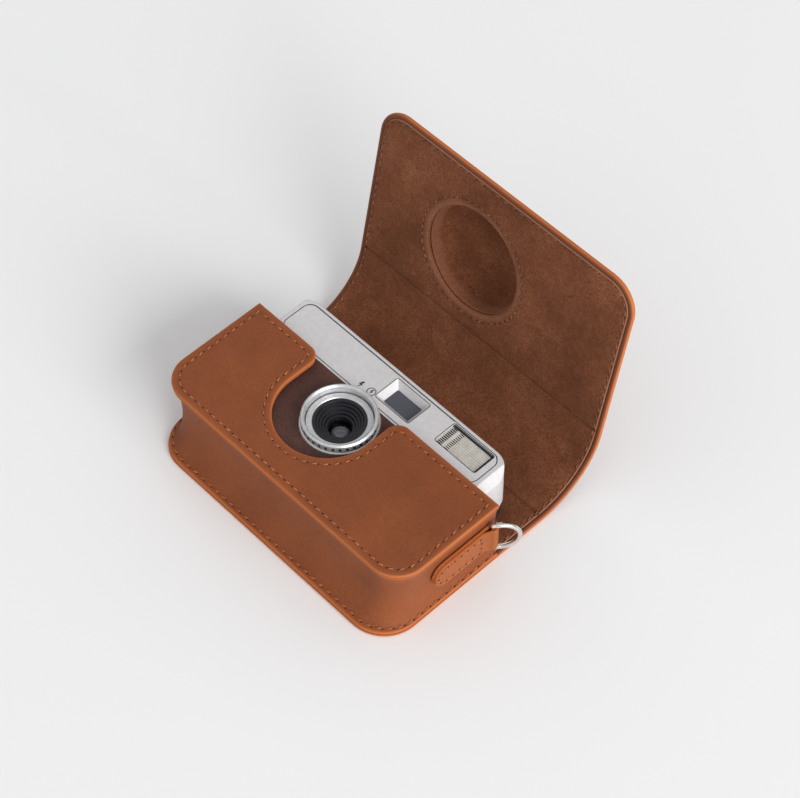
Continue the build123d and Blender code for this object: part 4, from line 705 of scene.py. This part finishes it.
def brown_suede():
    """Suede: brushed nap in soft light and dark patches, with a fine fibre and a dusty sheen."""
    material, tree, surface, where = finish_base(
        "brown_suede", Roughness=0.95, Specular_IOR_Level=0.05, Sheen_Weight=0.12, Sheen_Roughness=0.5
    )
    surface.inputs["Sheen Tint"].default_value = (0.95, 0.5, 0.3, 1)
    patches = noise(tree, where, 30, 6, 0.62)
    nap = noise(tree, where, 330, 5, 0.7)
    fibre = noise(tree, where, 1500, 3, 0.7)
    dark, mid, light = (0.125, 0.043, 0.021), (0.205, 0.072, 0.034), (0.300, 0.114, 0.058)
    colour = ramp(tree, added(tree, patches, nap, 0.4), (0.5, dark), (0.7, mid), (0.92, light))
    colour = mix(tree, span_of(tree, fibre, 0.62, 0.0, 0.36, 0.58), colour, tuple(0.5 * c for c in dark))
    wear_and_crease_shade = wear_and_shade(tree)
    colour = mix(tree, span_of(tree, wear_and_crease_shade, 0.0, 0.6), colour, (0.48, 0.23, 0.14))
    # painted crease shade: negative values darken the suede along the folds
    colour = mix(tree, span_of(tree, wear_and_crease_shade, 0.45, 0.0, -1.0, 0.0), colour, tuple(0.4 * c for c in dark))
    tree.links.new(colour, surface.inputs["Base Color"])
    bump(tree, surface, added(tree, fibre, nap, 0.5), 0.5, 0.00025)
    return material


def plain_finish(name, colour, other, rough, scale=300.0, grain=0.15, depth=0.00003, **shader):
    """A finish with a fine mottle between two colours and a light surface grain."""
    material, tree, surface, where = finish_base(name, **shader)
    mottle = noise(tree, where, scale, 4)
    fine = noise(tree, where, scale * 9, 2)
    tree.links.new(ramp(tree, mottle, (0.35, colour), (0.7, other)), surface.inputs["Base Color"])
    tree.links.new(span_of(tree, fine, rough[0], rough[1]), surface.inputs["Roughness"])
    bump(tree, surface, fine, grain, depth)
    return material


def leatherette():
    """Embossed covering: flat islands between narrow dark creases."""
    material, tree, surface, where = finish_base("embossed_leatherette", Specular_IOR_Level=0.3)
    cells = node(tree, "ShaderNodeTexVoronoi", {"Vector": where, "Scale": 1300.0}, feature="DISTANCE_TO_EDGE")
    islands = ramp(tree, cells.outputs["Distance"], (0.0, (0, 0, 0)), (0.2, (1, 1, 1)))
    tone = noise(tree, where, 160, 4)
    colour = ramp(tree, tone, (0.3, (0.092, 0.037, 0.027)), (0.7, (0.142, 0.059, 0.044)))
    colour = mix(tree, span_of(tree, islands, 0.5, 0.0), colour, (0.03, 0.014, 0.01))
    tree.links.new(colour, surface.inputs["Base Color"])
    tree.links.new(span_of(tree, tone, 0.5, 0.7), surface.inputs["Roughness"])
    bump(tree, surface, islands, 0.4, 0.0001)
    return material


def turned_metal(name, colour, rough, rings, depth, flutes=(), **shader):
    """Metal or paint turned on a lathe: fine rings about the lens axis over a soft mottle.
    flutes, where given, is the band of radii where the grip is dark."""
    material, tree, surface, where = finish_base(name, **shader)
    shift = (-LENS_AXIS[0] * MM, -LENS_AXIS[1] * MM, 0)
    centred = node(tree, "ShaderNodeMapping", {"Vector": where, "Location": shift}).outputs["Vector"]
    lathe = node(
        tree,
        "ShaderNodeTexWave",
        {"Vector": centred, "Scale": rings, "Distortion": 0.0, "Detail": 0.0},
        wave_type="RINGS",
        rings_direction="Z",
    ).outputs["Fac"]
    mottle = noise(tree, where, 350, 4)
    tone = ramp(tree, mottle, (0.3, tuple(0.8 * c for c in colour)), (0.7, colour))
    if flutes:
        flat = node(tree, "ShaderNodeVectorMath", {0: centred, 1: (1, 1, 0)}, operation="MULTIPLY")
        radius = node(tree, "ShaderNodeVectorMath", {0: flat.outputs["Vector"]}, operation="LENGTH")
        height = node(tree, "ShaderNodeSeparateXYZ", {"Vector": where}).outputs["Z"]
        round_grip = between(tree, radius.outputs["Value"], flutes[0], flutes[1] + 0.1, 0.1)
        grip = times(tree, round_grip, between(tree, height, GRIP_LOW_Z, GRIP_HIGH_Z, 0.2))
        tone = mix(tree, grip, tone, (0.02, 0.02, 0.022))
    tree.links.new(tone, surface.inputs["Base Color"])
    tree.links.new(span_of(tree, mottle, *rough), surface.inputs["Roughness"])
    bump(tree, surface, lathe, 0.5, depth)
    return material


def clear_finish(name, tint, rough, ior=1.5, **shader):
    """Clear glass or plastic with a faint haze."""
    material, tree, surface, where = finish_base(name, **{"IOR": ior, "Transmission_Weight": 1.0, **shader})
    haze = noise(tree, where, 400, 3)
    dim = tuple(0.93 * c for c in tint)
    tree.links.new(ramp(tree, haze, (0.3, dim), (0.7, tint)), surface.inputs["Base Color"])
    tree.links.new(span_of(tree, haze, *rough), surface.inputs["Roughness"])
    return material


LEATHER = tan_leather(
    "tan_leather", (0.235, 0.062, 0.018), (0.280, 0.075, 0.022), (0.325, 0.090, 0.028),
    (0.50, 0.14, 0.035), (0.150, 0.045, 0.017),
)
SUEDE = brown_suede()
THREAD = plain_finish("waxed_thread", (0.31, 0.085, 0.025), (0.52, 0.165, 0.055), (0.45, 0.6), 700.0, 0.4)
DARK_THREAD = plain_finish("dark_thread", (0.10, 0.032, 0.014), (0.30, 0.11, 0.05), (0.5, 0.7), 240.0, 0.4)
# painted shade: the needle holes' pits are near black, standing for the shadow inside a deep hole
NEEDLE_HOLE_SHADE = plain_finish("needle_hole_shade", (0.022, 0.008, 0.004), (0.012, 0.005, 0.003), (0.8, 0.95), 900.0)
SILVER = plain_finish(
    "silver_paint", (0.67, 0.655, 0.66), (0.73, 0.71, 0.715), (0.34, 0.46), 500.0, 0.1, 0.00001, Metallic=0.2
)
ALUMINIUM = ((0.74, 0.74, 0.75), (0.3, 0.42), 900.0, 0.000004)
RING_SILVER = turned_metal("turned_aluminium", *ALUMINIUM, Metallic=0.6)
FLUTED_SILVER = turned_metal("fluted_aluminium", *ALUMINIUM, GRIP_RADII, Metallic=0.6)
BARREL_BLACK = turned_metal("ringed_lens_black", (0.009, 0.009, 0.013), (0.35, 0.5), 700.0, 0.00005)
BLACK_PLASTIC = plain_finish(
    "black_plastic", (0.014, 0.014, 0.016), (0.022, 0.022, 0.024), (0.42, 0.6), 700.0, 0.35
)
MATT_BLACK = plain_finish("matt_black", (0.008, 0.008, 0.009), (0.014, 0.014, 0.016), (0.7, 0.9), 600.0, 0.3)
NICKEL = plain_finish(
    "polished_nickel", (0.70, 0.68, 0.65), (0.78, 0.77, 0.75), (0.1, 0.2), 240.0, 0.05, 0.00001, Metallic=1.0
)
STEEL = plain_finish(
    "bright_steel", (0.48, 0.48, 0.49), (0.58, 0.58, 0.59), (0.22, 0.38), 400.0, 0.1, Metallic=1.0
)
DIAL = plain_finish("dial_white", (0.7, 0.69, 0.65), (0.78, 0.77, 0.73), (0.5, 0.6), 500.0)
FOAM = plain_finish("seal_foam", (0.01, 0.01, 0.01), (0.02, 0.02, 0.02), (0.9, 1.0), 1500.0, 0.8, 0.0002)
MIRROR = plain_finish(
    "bright_reflector", (0.82, 0.81, 0.79), (0.9, 0.89, 0.87), (0.12, 0.25), 300.0, Metallic=0.95
)
BOARD = plain_finish("solder_mask", (0.03, 0.1, 0.05), (0.05, 0.14, 0.07), (0.35, 0.5), 500.0)
SLEEVE = plain_finish("dark_sleeve", (0.02, 0.02, 0.03), (0.035, 0.035, 0.05), (0.25, 0.4), 200.0)
CELL = plain_finish("cell_sleeve", (0.24, 0.24, 0.26), (0.32, 0.32, 0.34), (0.25, 0.4), 200.0, Metallic=0.4)
AMBER = clear_finish("amber_lens", (0.9, 0.4, 0.08), (0.1, 0.2))
CLEAR = clear_finish("clear_plastic", (0.9, 0.91, 0.92), (0.02, 0.06), 1.46)
FINDER_GLASS = clear_finish("finder_glass", (0.10, 0.10, 0.13), (0.0, 0.02), Transmission_Weight=0.25)
LENS_GLASS = clear_finish("coated_glass", (0.75, 0.78, 0.88), (0.0, 0.02), 1.52, Coat_Weight=0.6)
RIB_PLASTIC = plain_finish("ribbed_diffuser", (0.56, 0.53, 0.47), (0.66, 0.63, 0.58), (0.2, 0.35), 400.0)
# painted groove shade: dark lines laid on the face where the grooves round the faceplate, its windows and the lens
# bezel are in shade
GROOVE_SHADE_GREY = plain_finish("painted_groove_shade", (0.035, 0.035, 0.04), (0.07, 0.07, 0.08), (0.4, 0.55), 400.0)
MARK_BLACK = plain_finish("printed_black", (0.02, 0.02, 0.022), (0.035, 0.035, 0.037), (0.4, 0.5), 900.0)

CAD_FINISHES = {
    "nickel": NICKEL, "magnet": STEEL, "silver_paint": SILVER, "ring_silver": RING_SILVER,
    "brown_leatherette": leatherette(), "black_plastic": BLACK_PLASTIC, "matt_black_inside": MATT_BLACK,
    "white_dial": DIAL, "steel": STEEL, "seal_foam": FOAM, "clear_plastic": CLEAR, "lens_glass": LENS_GLASS,
    "reflector": MIRROR, "circuit_board": BOARD, "capacitor_sleeve": SLEEVE, "cell_sleeve": CELL,
    "amber_lamp": AMBER, "tan_leather": LEATHER, "suede": SUEDE,
}
SPECIAL_FINISHES = {
    "lens_barrel": BARREL_BLACK, "lens_ring": FLUTED_SILVER, "viewfinder_front_window": FINDER_GLASS,
}
for part in frame["record"]["subparts"]:
    cad_node = frame["nodes"][part["node"]]
    finish = SPECIAL_FINISHES.get(part["node"], CAD_FINISHES[part["material_slot"]])
    cad_node.data.materials.clear()
    cad_node.data.materials.append(finish)


# ------ leather and suede pieces


def leather(name, patches):
    """A piece of the tan leather."""
    return build(name, patches, [LEATHER])


def suede(name, patches):
    """A piece of the brown suede."""
    return build(name, patches, [SUEDE])


def sheet_point(s):
    """A point on the middle line of the sheet's suede face, in metres."""
    return tuple(on_sheet(0.0, s, 0.0) * MM)


def bend_first(piece):
    """Bakes the piece's transform into its mesh: a piece about the first fold, from the case to the rolled strip.
    """
    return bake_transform(piece, "case", "strip", start=sheet_point(-FOLD_SPAN), end=sheet_point(FOLD_SPAN))


def bend_second(piece):
    """Bakes the piece's transform into its mesh: a piece about the crease, from the rolled strip to the flap."""
    low, high = CREASE_S - CREASE_SPAN, CREASE_S + CREASE_SPAN
    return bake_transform(piece, "strip", "flap", start=sheet_point(low), end=sheet_point(high))


def add_sheet():
    """The long leather back with its suede, in two pieces that meet in the middle of the roll."""
    across = columns_of(CASE_HALF, LEATHER_EDGE[0][0])
    rows = first_rows(BACK_END_S, BACK_R, CASE_HALF)
    back = leather("leather_back", sheet_patches(rows, across, LEATHER_EDGE, lay_under_pocket))
    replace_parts(bend_first(back), "case_back_panel", "case_top_strip")

    rows = second_rows(FLAP_END_S, FLAP_R, CASE_HALF)
    flap = leather("leather_flap", sheet_patches(rows, across, LEATHER_EDGE, lay_on_sheet, LEATHER_LIP))
    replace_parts(bend_second(flap), "case_flap")

    start = POCKET_MOUTH_Y - FOLD[1] - TURNED
    inner = [np.arange(start + 5, -4, 5), FOLD_STEPS, np.linspace(4.5, SEAM_S, 10)[:-1]]
    rows = sheet_rows(start, SEAM_S, 0, 0, CASE_HALF, np.concatenate(inner))
    strip = suede("suede_strip", sheet_patches(rows, across, SUEDE_EDGE, lay_creased))
    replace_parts(bend_first(strip), "strip_lining")

    rows = second_rows(FLAP_END_S, FLAP_R, CASE_HALF)
    lining = suede("suede_flap", sheet_patches(rows, across, SUEDE_EDGE, lay_creased, SUEDE_LIP))
    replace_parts(bend_second(lining), "flap_lining")


def add_pocket():
    """The pocket: front panel in two layers, gusset with its lining, and the suede floor."""
    outline = front_outline()
    panel = leather("leather_front", plate_patches(outline, PANEL_EDGE, PANEL_HIGH[2]))
    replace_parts(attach(panel, "case"), "case_front_panel")
    under = leather("front_backing", plate_patches(outline, UNDER_EDGE, UNDER_TOP_Z))
    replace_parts(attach(under, "case"), "front_panel_lining")
    gusset = leather("leather_gusset", pocket_wall(gusset_levels()))
    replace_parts(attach(gusset, "case"), "case_gusset")
    lining = suede("gusset_suede", pocket_wall(gusset_lining_levels()))
    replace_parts(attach(lining, "case"), "gusset_lining")
    end_y = span("case_back_lining")[0][1] + 0.2
    outline = floor_outline(60.2, end_y, 12.6, POCKET_MOUTH_Y - 0.1)
    floor = suede("pocket_floor", plate_patches(outline, FLOOR_EDGE, STACK_T))
    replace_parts(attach(floor, "case"), "case_back_lining")


def add_dome():
    """The pressed lens dome, leather outside and suede inside."""
    cup = turned_on_flap(CUP_IN, np.where(np.arange(len(CUP_IN)) < 8, 0.25, 0.0))
    wall = grid_patch(np.concatenate([cup, cup[:1]]), ring=True)
    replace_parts(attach(suede("suede_cup", [wall]), "flap"), "dome_lining")
    dome_wear = np.where((np.arange(len(DOME_OUT)) > 0) & (np.arange(len(DOME_OUT)) < 5), 0.7, 0.0)
    dome = turned_on_flap(DOME_OUT, dome_wear)
    wall = grid_patch(np.concatenate([dome, dome[:1]]), ring=True)
    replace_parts(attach(leather("leather_dome", [wall]), "flap"), "flap_dome")


# ------ strap tabs

TAB_LOW, TAB_HIGH = span("d_ring_tab_right")
TAB_T = 1.05
TAB_INNER_IN = 0.56
TAB_OUTER_IN = 1.66
TAB_SOFT = 0.28
TAB_HALF = (TAB_HIGH[2] - TAB_LOW[2]) / 2
LOOP_R = 1.6


def tab_path():
    """The strap's middle line seen from above: in along the case, round the ring, back over itself."""
    inner_x, outer_x = TAB_LOW[0] + TAB_INNER_IN, TAB_LOW[0] + TAB_OUTER_IN
    leg = np.linspace(TAB_LOW[1] + 0.1, RING_BAR[1], 22)
    bow = arc(RING_BAR[:2], LOOP_R, 180, -55, 22)
    inner = np.stack([np.full(len(leg), inner_x), leg], -1)
    back = np.linspace(RING_BAR[1] - 4.2, TAB_LOW[1] + 0.1, 20)
    outer = np.stack([np.full(len(back), outer_x), back], -1)
    return np.concatenate([inner[:-1], bow, outer])


def tab_patches(side):
    """A strap of rounded section swept along the tab's path, half round at its sewn end."""
    path = tab_path()
    ahead = np.gradient(path, axis=0)
    ahead /= np.linalg.norm(ahead, axis=1)[:, None]
    out = np.stack([-ahead[:, 1], ahead[:, 0]], -1)
    reach = np.clip(path[:, 1] - TAB_LOW[1], 0, TAB_HALF)
    half = np.sqrt(np.maximum(TAB_HALF**2 - (TAB_HALF - reach) ** 2, 0.4))
    across = np.array([-1, -1, -0.55, 0.55, 1, 1, 1, 1, 0.55, -0.55, -1, -1]) * TAB_T / 2
    sign = np.repeat([1, -1], 6)
    tuck = np.tile([1, 0.35, 0, 0, 0.35, 1], 2) * TAB_SOFT
    height = sign * (half[:, None] - tuck)
    flat = path[:, None, :] + across[None, :, None] * out[:, None, :]
    points = np.stack([side * flat[..., 0], flat[..., 1], RING_BAR[2] + height], -1)
    edge = np.tile([0.3, 0.9, 1, 1, 0.9, 0.3], 2)
    points = with_rim(points, np.broadcast_to(edge, points.shape[:-1]))
    return [grid_patch(points, ring=True), cap_patch(points[0]), cap_patch(points[-1])]


def tab_seam(side):
    """The stitched outline on the tab: a half circle at its sewn end and two straight runs."""
    inset = TAB_HALF - 1.5
    centre_y = TAB_LOW[1] + TAB_HALF
    end_y = RING_BAR[1] - 5.5
    bow = arc((centre_y, RING_BAR[2]), inset, 90, 270, 12)
    flat = np.concatenate([[(end_y, RING_BAR[2] + inset)], bow, [(end_y, RING_BAR[2] - inset)]])
    x = np.full(len(flat), side * (TAB_LOW[0] + TAB_OUTER_IN + TAB_T / 2))
    return np.c_[x, flat], np.tile((float(side), 0.0, 0.0), (len(flat), 1))


def add_tabs():
    """Both strap tabs with their stitches."""
    for side, word in ((1, "right"), (-1, "left")):
        tab = leather(f"strap_tab_{word}", tab_patches(side))
        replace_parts(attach(tab, "case"), f"d_ring_tab_{word}")
        row = stitch_patches(*tab_seam(side), closed=True, pitch=SHORT_PITCH)
        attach(build(f"tab_stitches_{word}", row, [THREAD, NEEDLE_HOLE_SHADE]), "case")


# ------ seams


def add_seams():
    """Every row of stitches, on the piece that it is sewn through."""

    def seam(name, row, inside=False):
        finishes = [DARK_THREAD if inside else THREAD, NEEDLE_HOLE_SHADE]
        return build(name, row, finishes)

    def level_row(line, height, closed):
        """Stitches on a level face."""
        path = at_height(line, height)
        return stitch_patches(path, np.tile((0.0, 0.0, 1.0), (len(path), 1)), closed)

    outline = moved_in(front_outline(), STITCH_IN)
    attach(seam("front_stitches", level_row(outline, PANEL_HIGH[2] - 0.12, True)), "case")
    foot = pocket_line(*FOOT_SEAM)
    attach(seam("foot_stitches", level_row(foot, FOOT_SEAM_Z, False)), "case")

    along = np.linspace(POCKET_MOUTH_Y - FOLD[1] + 2, SEAM_S - PITCH / 2, 40)
    edge = np.full(len(along), CASE_HALF - STITCH_IN)
    inner, outer = [], []
    for side in (-1, 1):
        inner += stitch_patches(*sheet_seam(side * edge, along, INNER_SEAM_DEPTH, False))
        outer += stitch_patches(*sheet_seam(side * edge, along, OUTER_SEAM_DEPTH, True))
    bend_first(seam("strip_stitches_inside", inner, True))
    bend_first(seam("strip_stitches_outside", outer))

    turn = arc((CASE_HALF - FLAP_R, FLAP_END_S - FLAP_R), FLAP_R - STITCH_IN, 0, 90)
    along = np.linspace(SEAM_S + PITCH / 2, CREASE_S + 4, 30)
    right = np.concatenate([np.stack([np.full(len(along), CASE_HALF - STITCH_IN), along], -1), turn])
    route = np.concatenate([right, right[::-1] * (-1, 1)])
    inner = stitch_patches(*sheet_seam(*route.T, INNER_SEAM_DEPTH, False))
    outer = stitch_patches(*sheet_seam(*route.T, OUTER_SEAM_DEPTH, True))
    bend_second(seam("flap_stitches_inside", inner, True))
    bend_second(seam("flap_stitches_outside", outer))

    ring = arc((DOME_X, DOME_S), DOME_SEAM_R, 0, 360, 72)[:-1]
    inner = stitch_patches(*sheet_seam(*ring.T, 0.1, False), closed=True, pitch=SHORT_PITCH)
    outer = stitch_patches(*sheet_seam(*ring.T, 4.55, True), closed=True, pitch=SHORT_PITCH)
    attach(seam("dome_stitches_inside", inner, True), "flap")
    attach(seam("dome_stitches_outside", outer), "flap")


# ------ camera details

FLASH_LOW, FLASH_HIGH = span("flash_cover")


def flat_mark(outline, height):
    """A thin printed mark: an outline raised by a little above the faceplate."""
    low = with_rim(at_height(outline, FACE_Z - 0.02))
    high = with_rim(at_height(outline, FACE_Z + height))
    return [grid_patch(np.stack([low, high]), ring=True), cap_patch(low), cap_patch(high)]


def bolt_outline(centre, size):
    """A simple lightning bolt of seven corners."""
    shape = [(-0.05, 0.5), (-0.3, -0.08), (-0.02, -0.02), (-0.12, -0.5), (0.3, 0.1), (0.04, 0.06), (0.2, 0.5)]
    return np.array(centre) + size * np.array(shape)


def print_and_shade_ring(centre, radius, width, base_z=FACE_Z):
    """A thin dark ring, a square section turned about its centre: a printed mark, and also the painted shade line
    round the lens bezel.
    """
    angle = np.linspace(0, 2 * pi, 40, endpoint=False)
    loop = []
    for r, z in ((radius, -0.02), (radius, MARK_T), (radius - width, MARK_T), (radius - width, -0.02)):
        x, y = centre[0] + r * np.cos(angle), centre[1] + r * np.sin(angle)
        loop.append(np.stack([x, y, np.full(len(angle), base_z + z)], -1))
    return [grid_patch(with_rim(np.stack(loop + loop[:1])), ring=True)]


def slab(low, high):
    """A square-edged block between two corners, as a ring of four sides and two caps."""
    xs, ys = (low[0], high[0], high[0], low[0]), (low[1], low[1], high[1], high[1])
    rows = np.stack([np.c_[xs, ys, np.full(4, z)] for z in (low[2], high[2])])
    rows = with_rim(rows)
    return [grid_patch(rows, ring=True), cap_patch(rows[0]), cap_patch(rows[1])]


def add_marks():
    """The flash marks beside the lens: a bolt, and a smaller one in a ring."""
    patches = flat_mark(bolt_outline(BOLT_PLACE, 3.3), MARK_T) + print_and_shade_ring(RINGED_BOLT_PLACE, 1.85, 0.34)
    patches += flat_mark(bolt_outline(RINGED_BOLT_PLACE, 2.3), MARK_T)
    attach(build("flash_marks", patches, [MARK_BLACK]), "camera")


def rounded(low, high, radius):
    """A rectangle with round corners, anticlockwise."""
    return np.concatenate([
        arc((high[0] - radius, high[1] - radius), radius, 0, 90, 8),
        arc((low[0] + radius, high[1] - radius), radius, 90, 180, 8),
        arc((low[0] + radius, low[1] + radius), radius, 180, 270, 8),
        arc((high[0] - radius, low[1] + radius), radius, 270, 360, 8),
    ])


def groove_shade_frame(low, high, out, radius, width):
    """A thin dark frame of painted groove shade on the face round a rectangle, a little way out from it."""
    outline = rounded(low - out, high + out, radius)
    inner = moved_in(outline, width)
    bottom, top = FACE_Z - 0.05, FACE_Z + 0.02
    loops = [at_height(outline, bottom), at_height(outline, top)]
    loops += [at_height(inner, top), at_height(inner, bottom)]
    return [grid_patch(with_rim(np.stack(loops + loops[:1])), ring=True)]


PLATE_LOW, PLATE_HIGH = span("top_faceplate")


def add_groove_shade():
    """Painted shade as dark lines: round the faceplate, round both of its windows and round the lens bezel."""
    patches = groove_shade_frame(PLATE_LOW[:2], PLATE_HIGH[:2], 0.3, 4.1, 0.36)
    glass_low, glass_high = span("viewfinder_front_window")
    middle = (glass_low + glass_high)[:2] / 2
    half = np.array(FINDER_WELL) / 2
    patches += groove_shade_frame(middle - half, middle + half, 0.35, 1.1, GROOVE_SHADE_W)
    patches += groove_shade_frame(FLASH_LOW[:2], FLASH_HIGH[:2], 0.3, 1.1, GROOVE_SHADE_W)
    bezel_high = span("lens_bezel")[1]
    patches += print_and_shade_ring(LENS_AXIS, bezel_high[0] - LENS_AXIS[0] - 0.02, BEZEL_SHADE_W, bezel_high[2])
    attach(build("faceplate_groove_shade", patches, [GROOVE_SHADE_GREY]), "camera")


def add_flash_ribs():
    """The flash window: a pale ribbed diffuser whose ribs follow |sin|, two dark toothed strips at its left end,
    and painted shadow of its well: dark slabs along the top and right."""
    x0, x1 = FLASH_LOW[0] + PLAIN_FLASH_W, FLASH_HIGH[0] - 0.05
    y0, y1 = FLASH_LOW[1] + 0.05, FLASH_HIGH[1] - 0.05
    z = FLASH_HIGH[2]
    along = np.linspace(y0, y1, FLASH_RIBS * 6 + 1)
    wave = z - 0.5 + 0.45 * np.abs(np.sin(np.linspace(0, FLASH_RIBS * pi, FLASH_RIBS * 6 + 1))) ** 0.7
    top = np.stack([np.stack([np.full(len(along), x), along, wave], -1) for x in np.linspace(x0, x1, 6)])
    base = top.copy()
    base[..., 2] = z - 0.8
    skirt = np.stack([border(top), border(base)])
    patches = [grid_patch(with_rim(top)), grid_patch(with_rim(base)), grid_patch(with_rim(skirt), ring=True)]
    patches += slab((FLASH_LOW[0] + 0.05, y0, z - 0.8), (x0 - 0.02, y1, z - 0.35))
    ribs = build("flash_diffuser", patches, [RIB_PLASTIC], sharp=75.0)
    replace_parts(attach(ribs, "camera"), "flash_cover")
    teeth_and_well_shadow = []
    for tooth_y in np.linspace(y0 + 0.3, y1 - 1.4, FLASH_RIBS):
        teeth_and_well_shadow += slab((x0 - 5.6, tooth_y, z - 0.37), (x0 - 3.4, tooth_y + 0.5, z - 0.28))
        teeth_and_well_shadow += slab((x0 - 1.9, tooth_y, z - 0.37), (x0 - 0.1, tooth_y + 0.36, z - 0.3))
    # painted shadow of the flash well: dark slabs along its top and right sides
    teeth_and_well_shadow += slab((FLASH_LOW[0] + 0.1, y1 - WELL_SHADE_W, z - 0.5), (x1, y1, z + 0.01))
    teeth_and_well_shadow += slab((x1 - WELL_SHADE_W, y0, z - 0.5), (x1, y1 - WELL_SHADE_W - 0.02, z + 0.01))
    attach(build("flash_comb_and_well_shadow", teeth_and_well_shadow, [MATT_BLACK]), "camera")


add_sheet()
add_pocket()
add_dome()
add_tabs()
add_seams()
add_marks()
add_groove_shade()
add_flash_ribs()


# ------ stage

FLOOR_SIZE = 6.0
FLOOR_Z = -0.05
VIEW_AZIMUTH, VIEW_ELEVATION, VIEW_ROLL = radians(46.908), radians(53.716), radians(-0.738)
VIEW_DISTANCE, VIEW_TARGET = 0.933, Vector((-0.013212, 0.040948, 0.0))


def add_floor():
    """A wide pale floor, warmed by the faintest mottle."""
    half = FLOOR_SIZE / 2 / MM
    corners = np.array([(-half, -half), (half, -half), (-half, half), (half, half)])
    mesh = bpy.data.meshes.new("studio_floor")
    mesh.from_pydata((at_height(corners, FLOOR_Z) * MM).tolist(), [], [(0, 1, 3, 2)])
    finish = plain_finish("pale_floor", (0.90, 0.90, 0.90), (0.91, 0.91, 0.91), (0.6, 0.7), 3.0, 0.0)
    mesh.materials.append(finish)
    floor = bpy.data.objects.new("studio_floor", mesh)
    bpy.context.scene.collection.objects.link(floor)


def add_lamp(name, place, aim, size, power, colour=(1, 1, 1)):
    """A square soft lamp that looks at a point."""
    lamp = bpy.data.lights.new(name, "AREA")
    lamp.size = size
    lamp.energy = power
    lamp.color = colour
    held = bpy.data.objects.new(name, lamp)
    held.location = place
    held.rotation_mode = "QUATERNION"
    held.rotation_quaternion = (Vector(aim) - Vector(place)).to_track_quat("-Z", "Y")
    bpy.context.scene.collection.objects.link(held)


def add_camera():
    """The camera, by azimuth, elevation, distance and roll about its target."""
    back = Vector((
        sin(VIEW_AZIMUTH) * cos(VIEW_ELEVATION), -cos(VIEW_AZIMUTH) * cos(VIEW_ELEVATION), sin(VIEW_ELEVATION)
    ))
    right = Vector((cos(VIEW_AZIMUTH), sin(VIEW_AZIMUTH), 0))
    up = back.cross(right)
    rolled = right * cos(VIEW_ROLL) + up * sin(VIEW_ROLL)
    axes = Matrix((rolled, back.cross(rolled), back)).transposed()
    lens = bpy.data.cameras.new("view")
    lens.lens = 110.43
    lens.sensor_width = 36.0
    camera = bpy.data.objects.new("view", lens)
    camera.rotation_mode = "QUATERNION"
    camera.rotation_quaternion = axes.to_quaternion()
    camera.location = VIEW_TARGET + back * VIEW_DISTANCE
    bpy.context.scene.collection.objects.link(camera)
    bpy.context.scene.camera = camera


def add_light():
    """A broad low key from the right in an even pale room."""
    middle = Vector((0, 0.02, 0.02))
    add_lamp("key", middle + 6.0 * Vector((0.9, -0.1, 0.43)), middle, 4.0, 330)
    world = bpy.data.worlds.new("studio")
    world.use_nodes = True
    world.node_tree.nodes["Background"].inputs["Color"].default_value = (0.985, 0.99, 1.0, 1)
    world.node_tree.nodes["Background"].inputs["Strength"].default_value = 0.62
    bpy.context.scene.world = world
    bpy.context.scene.view_settings.view_transform = "Standard"


add_floor()
add_light()
add_camera()
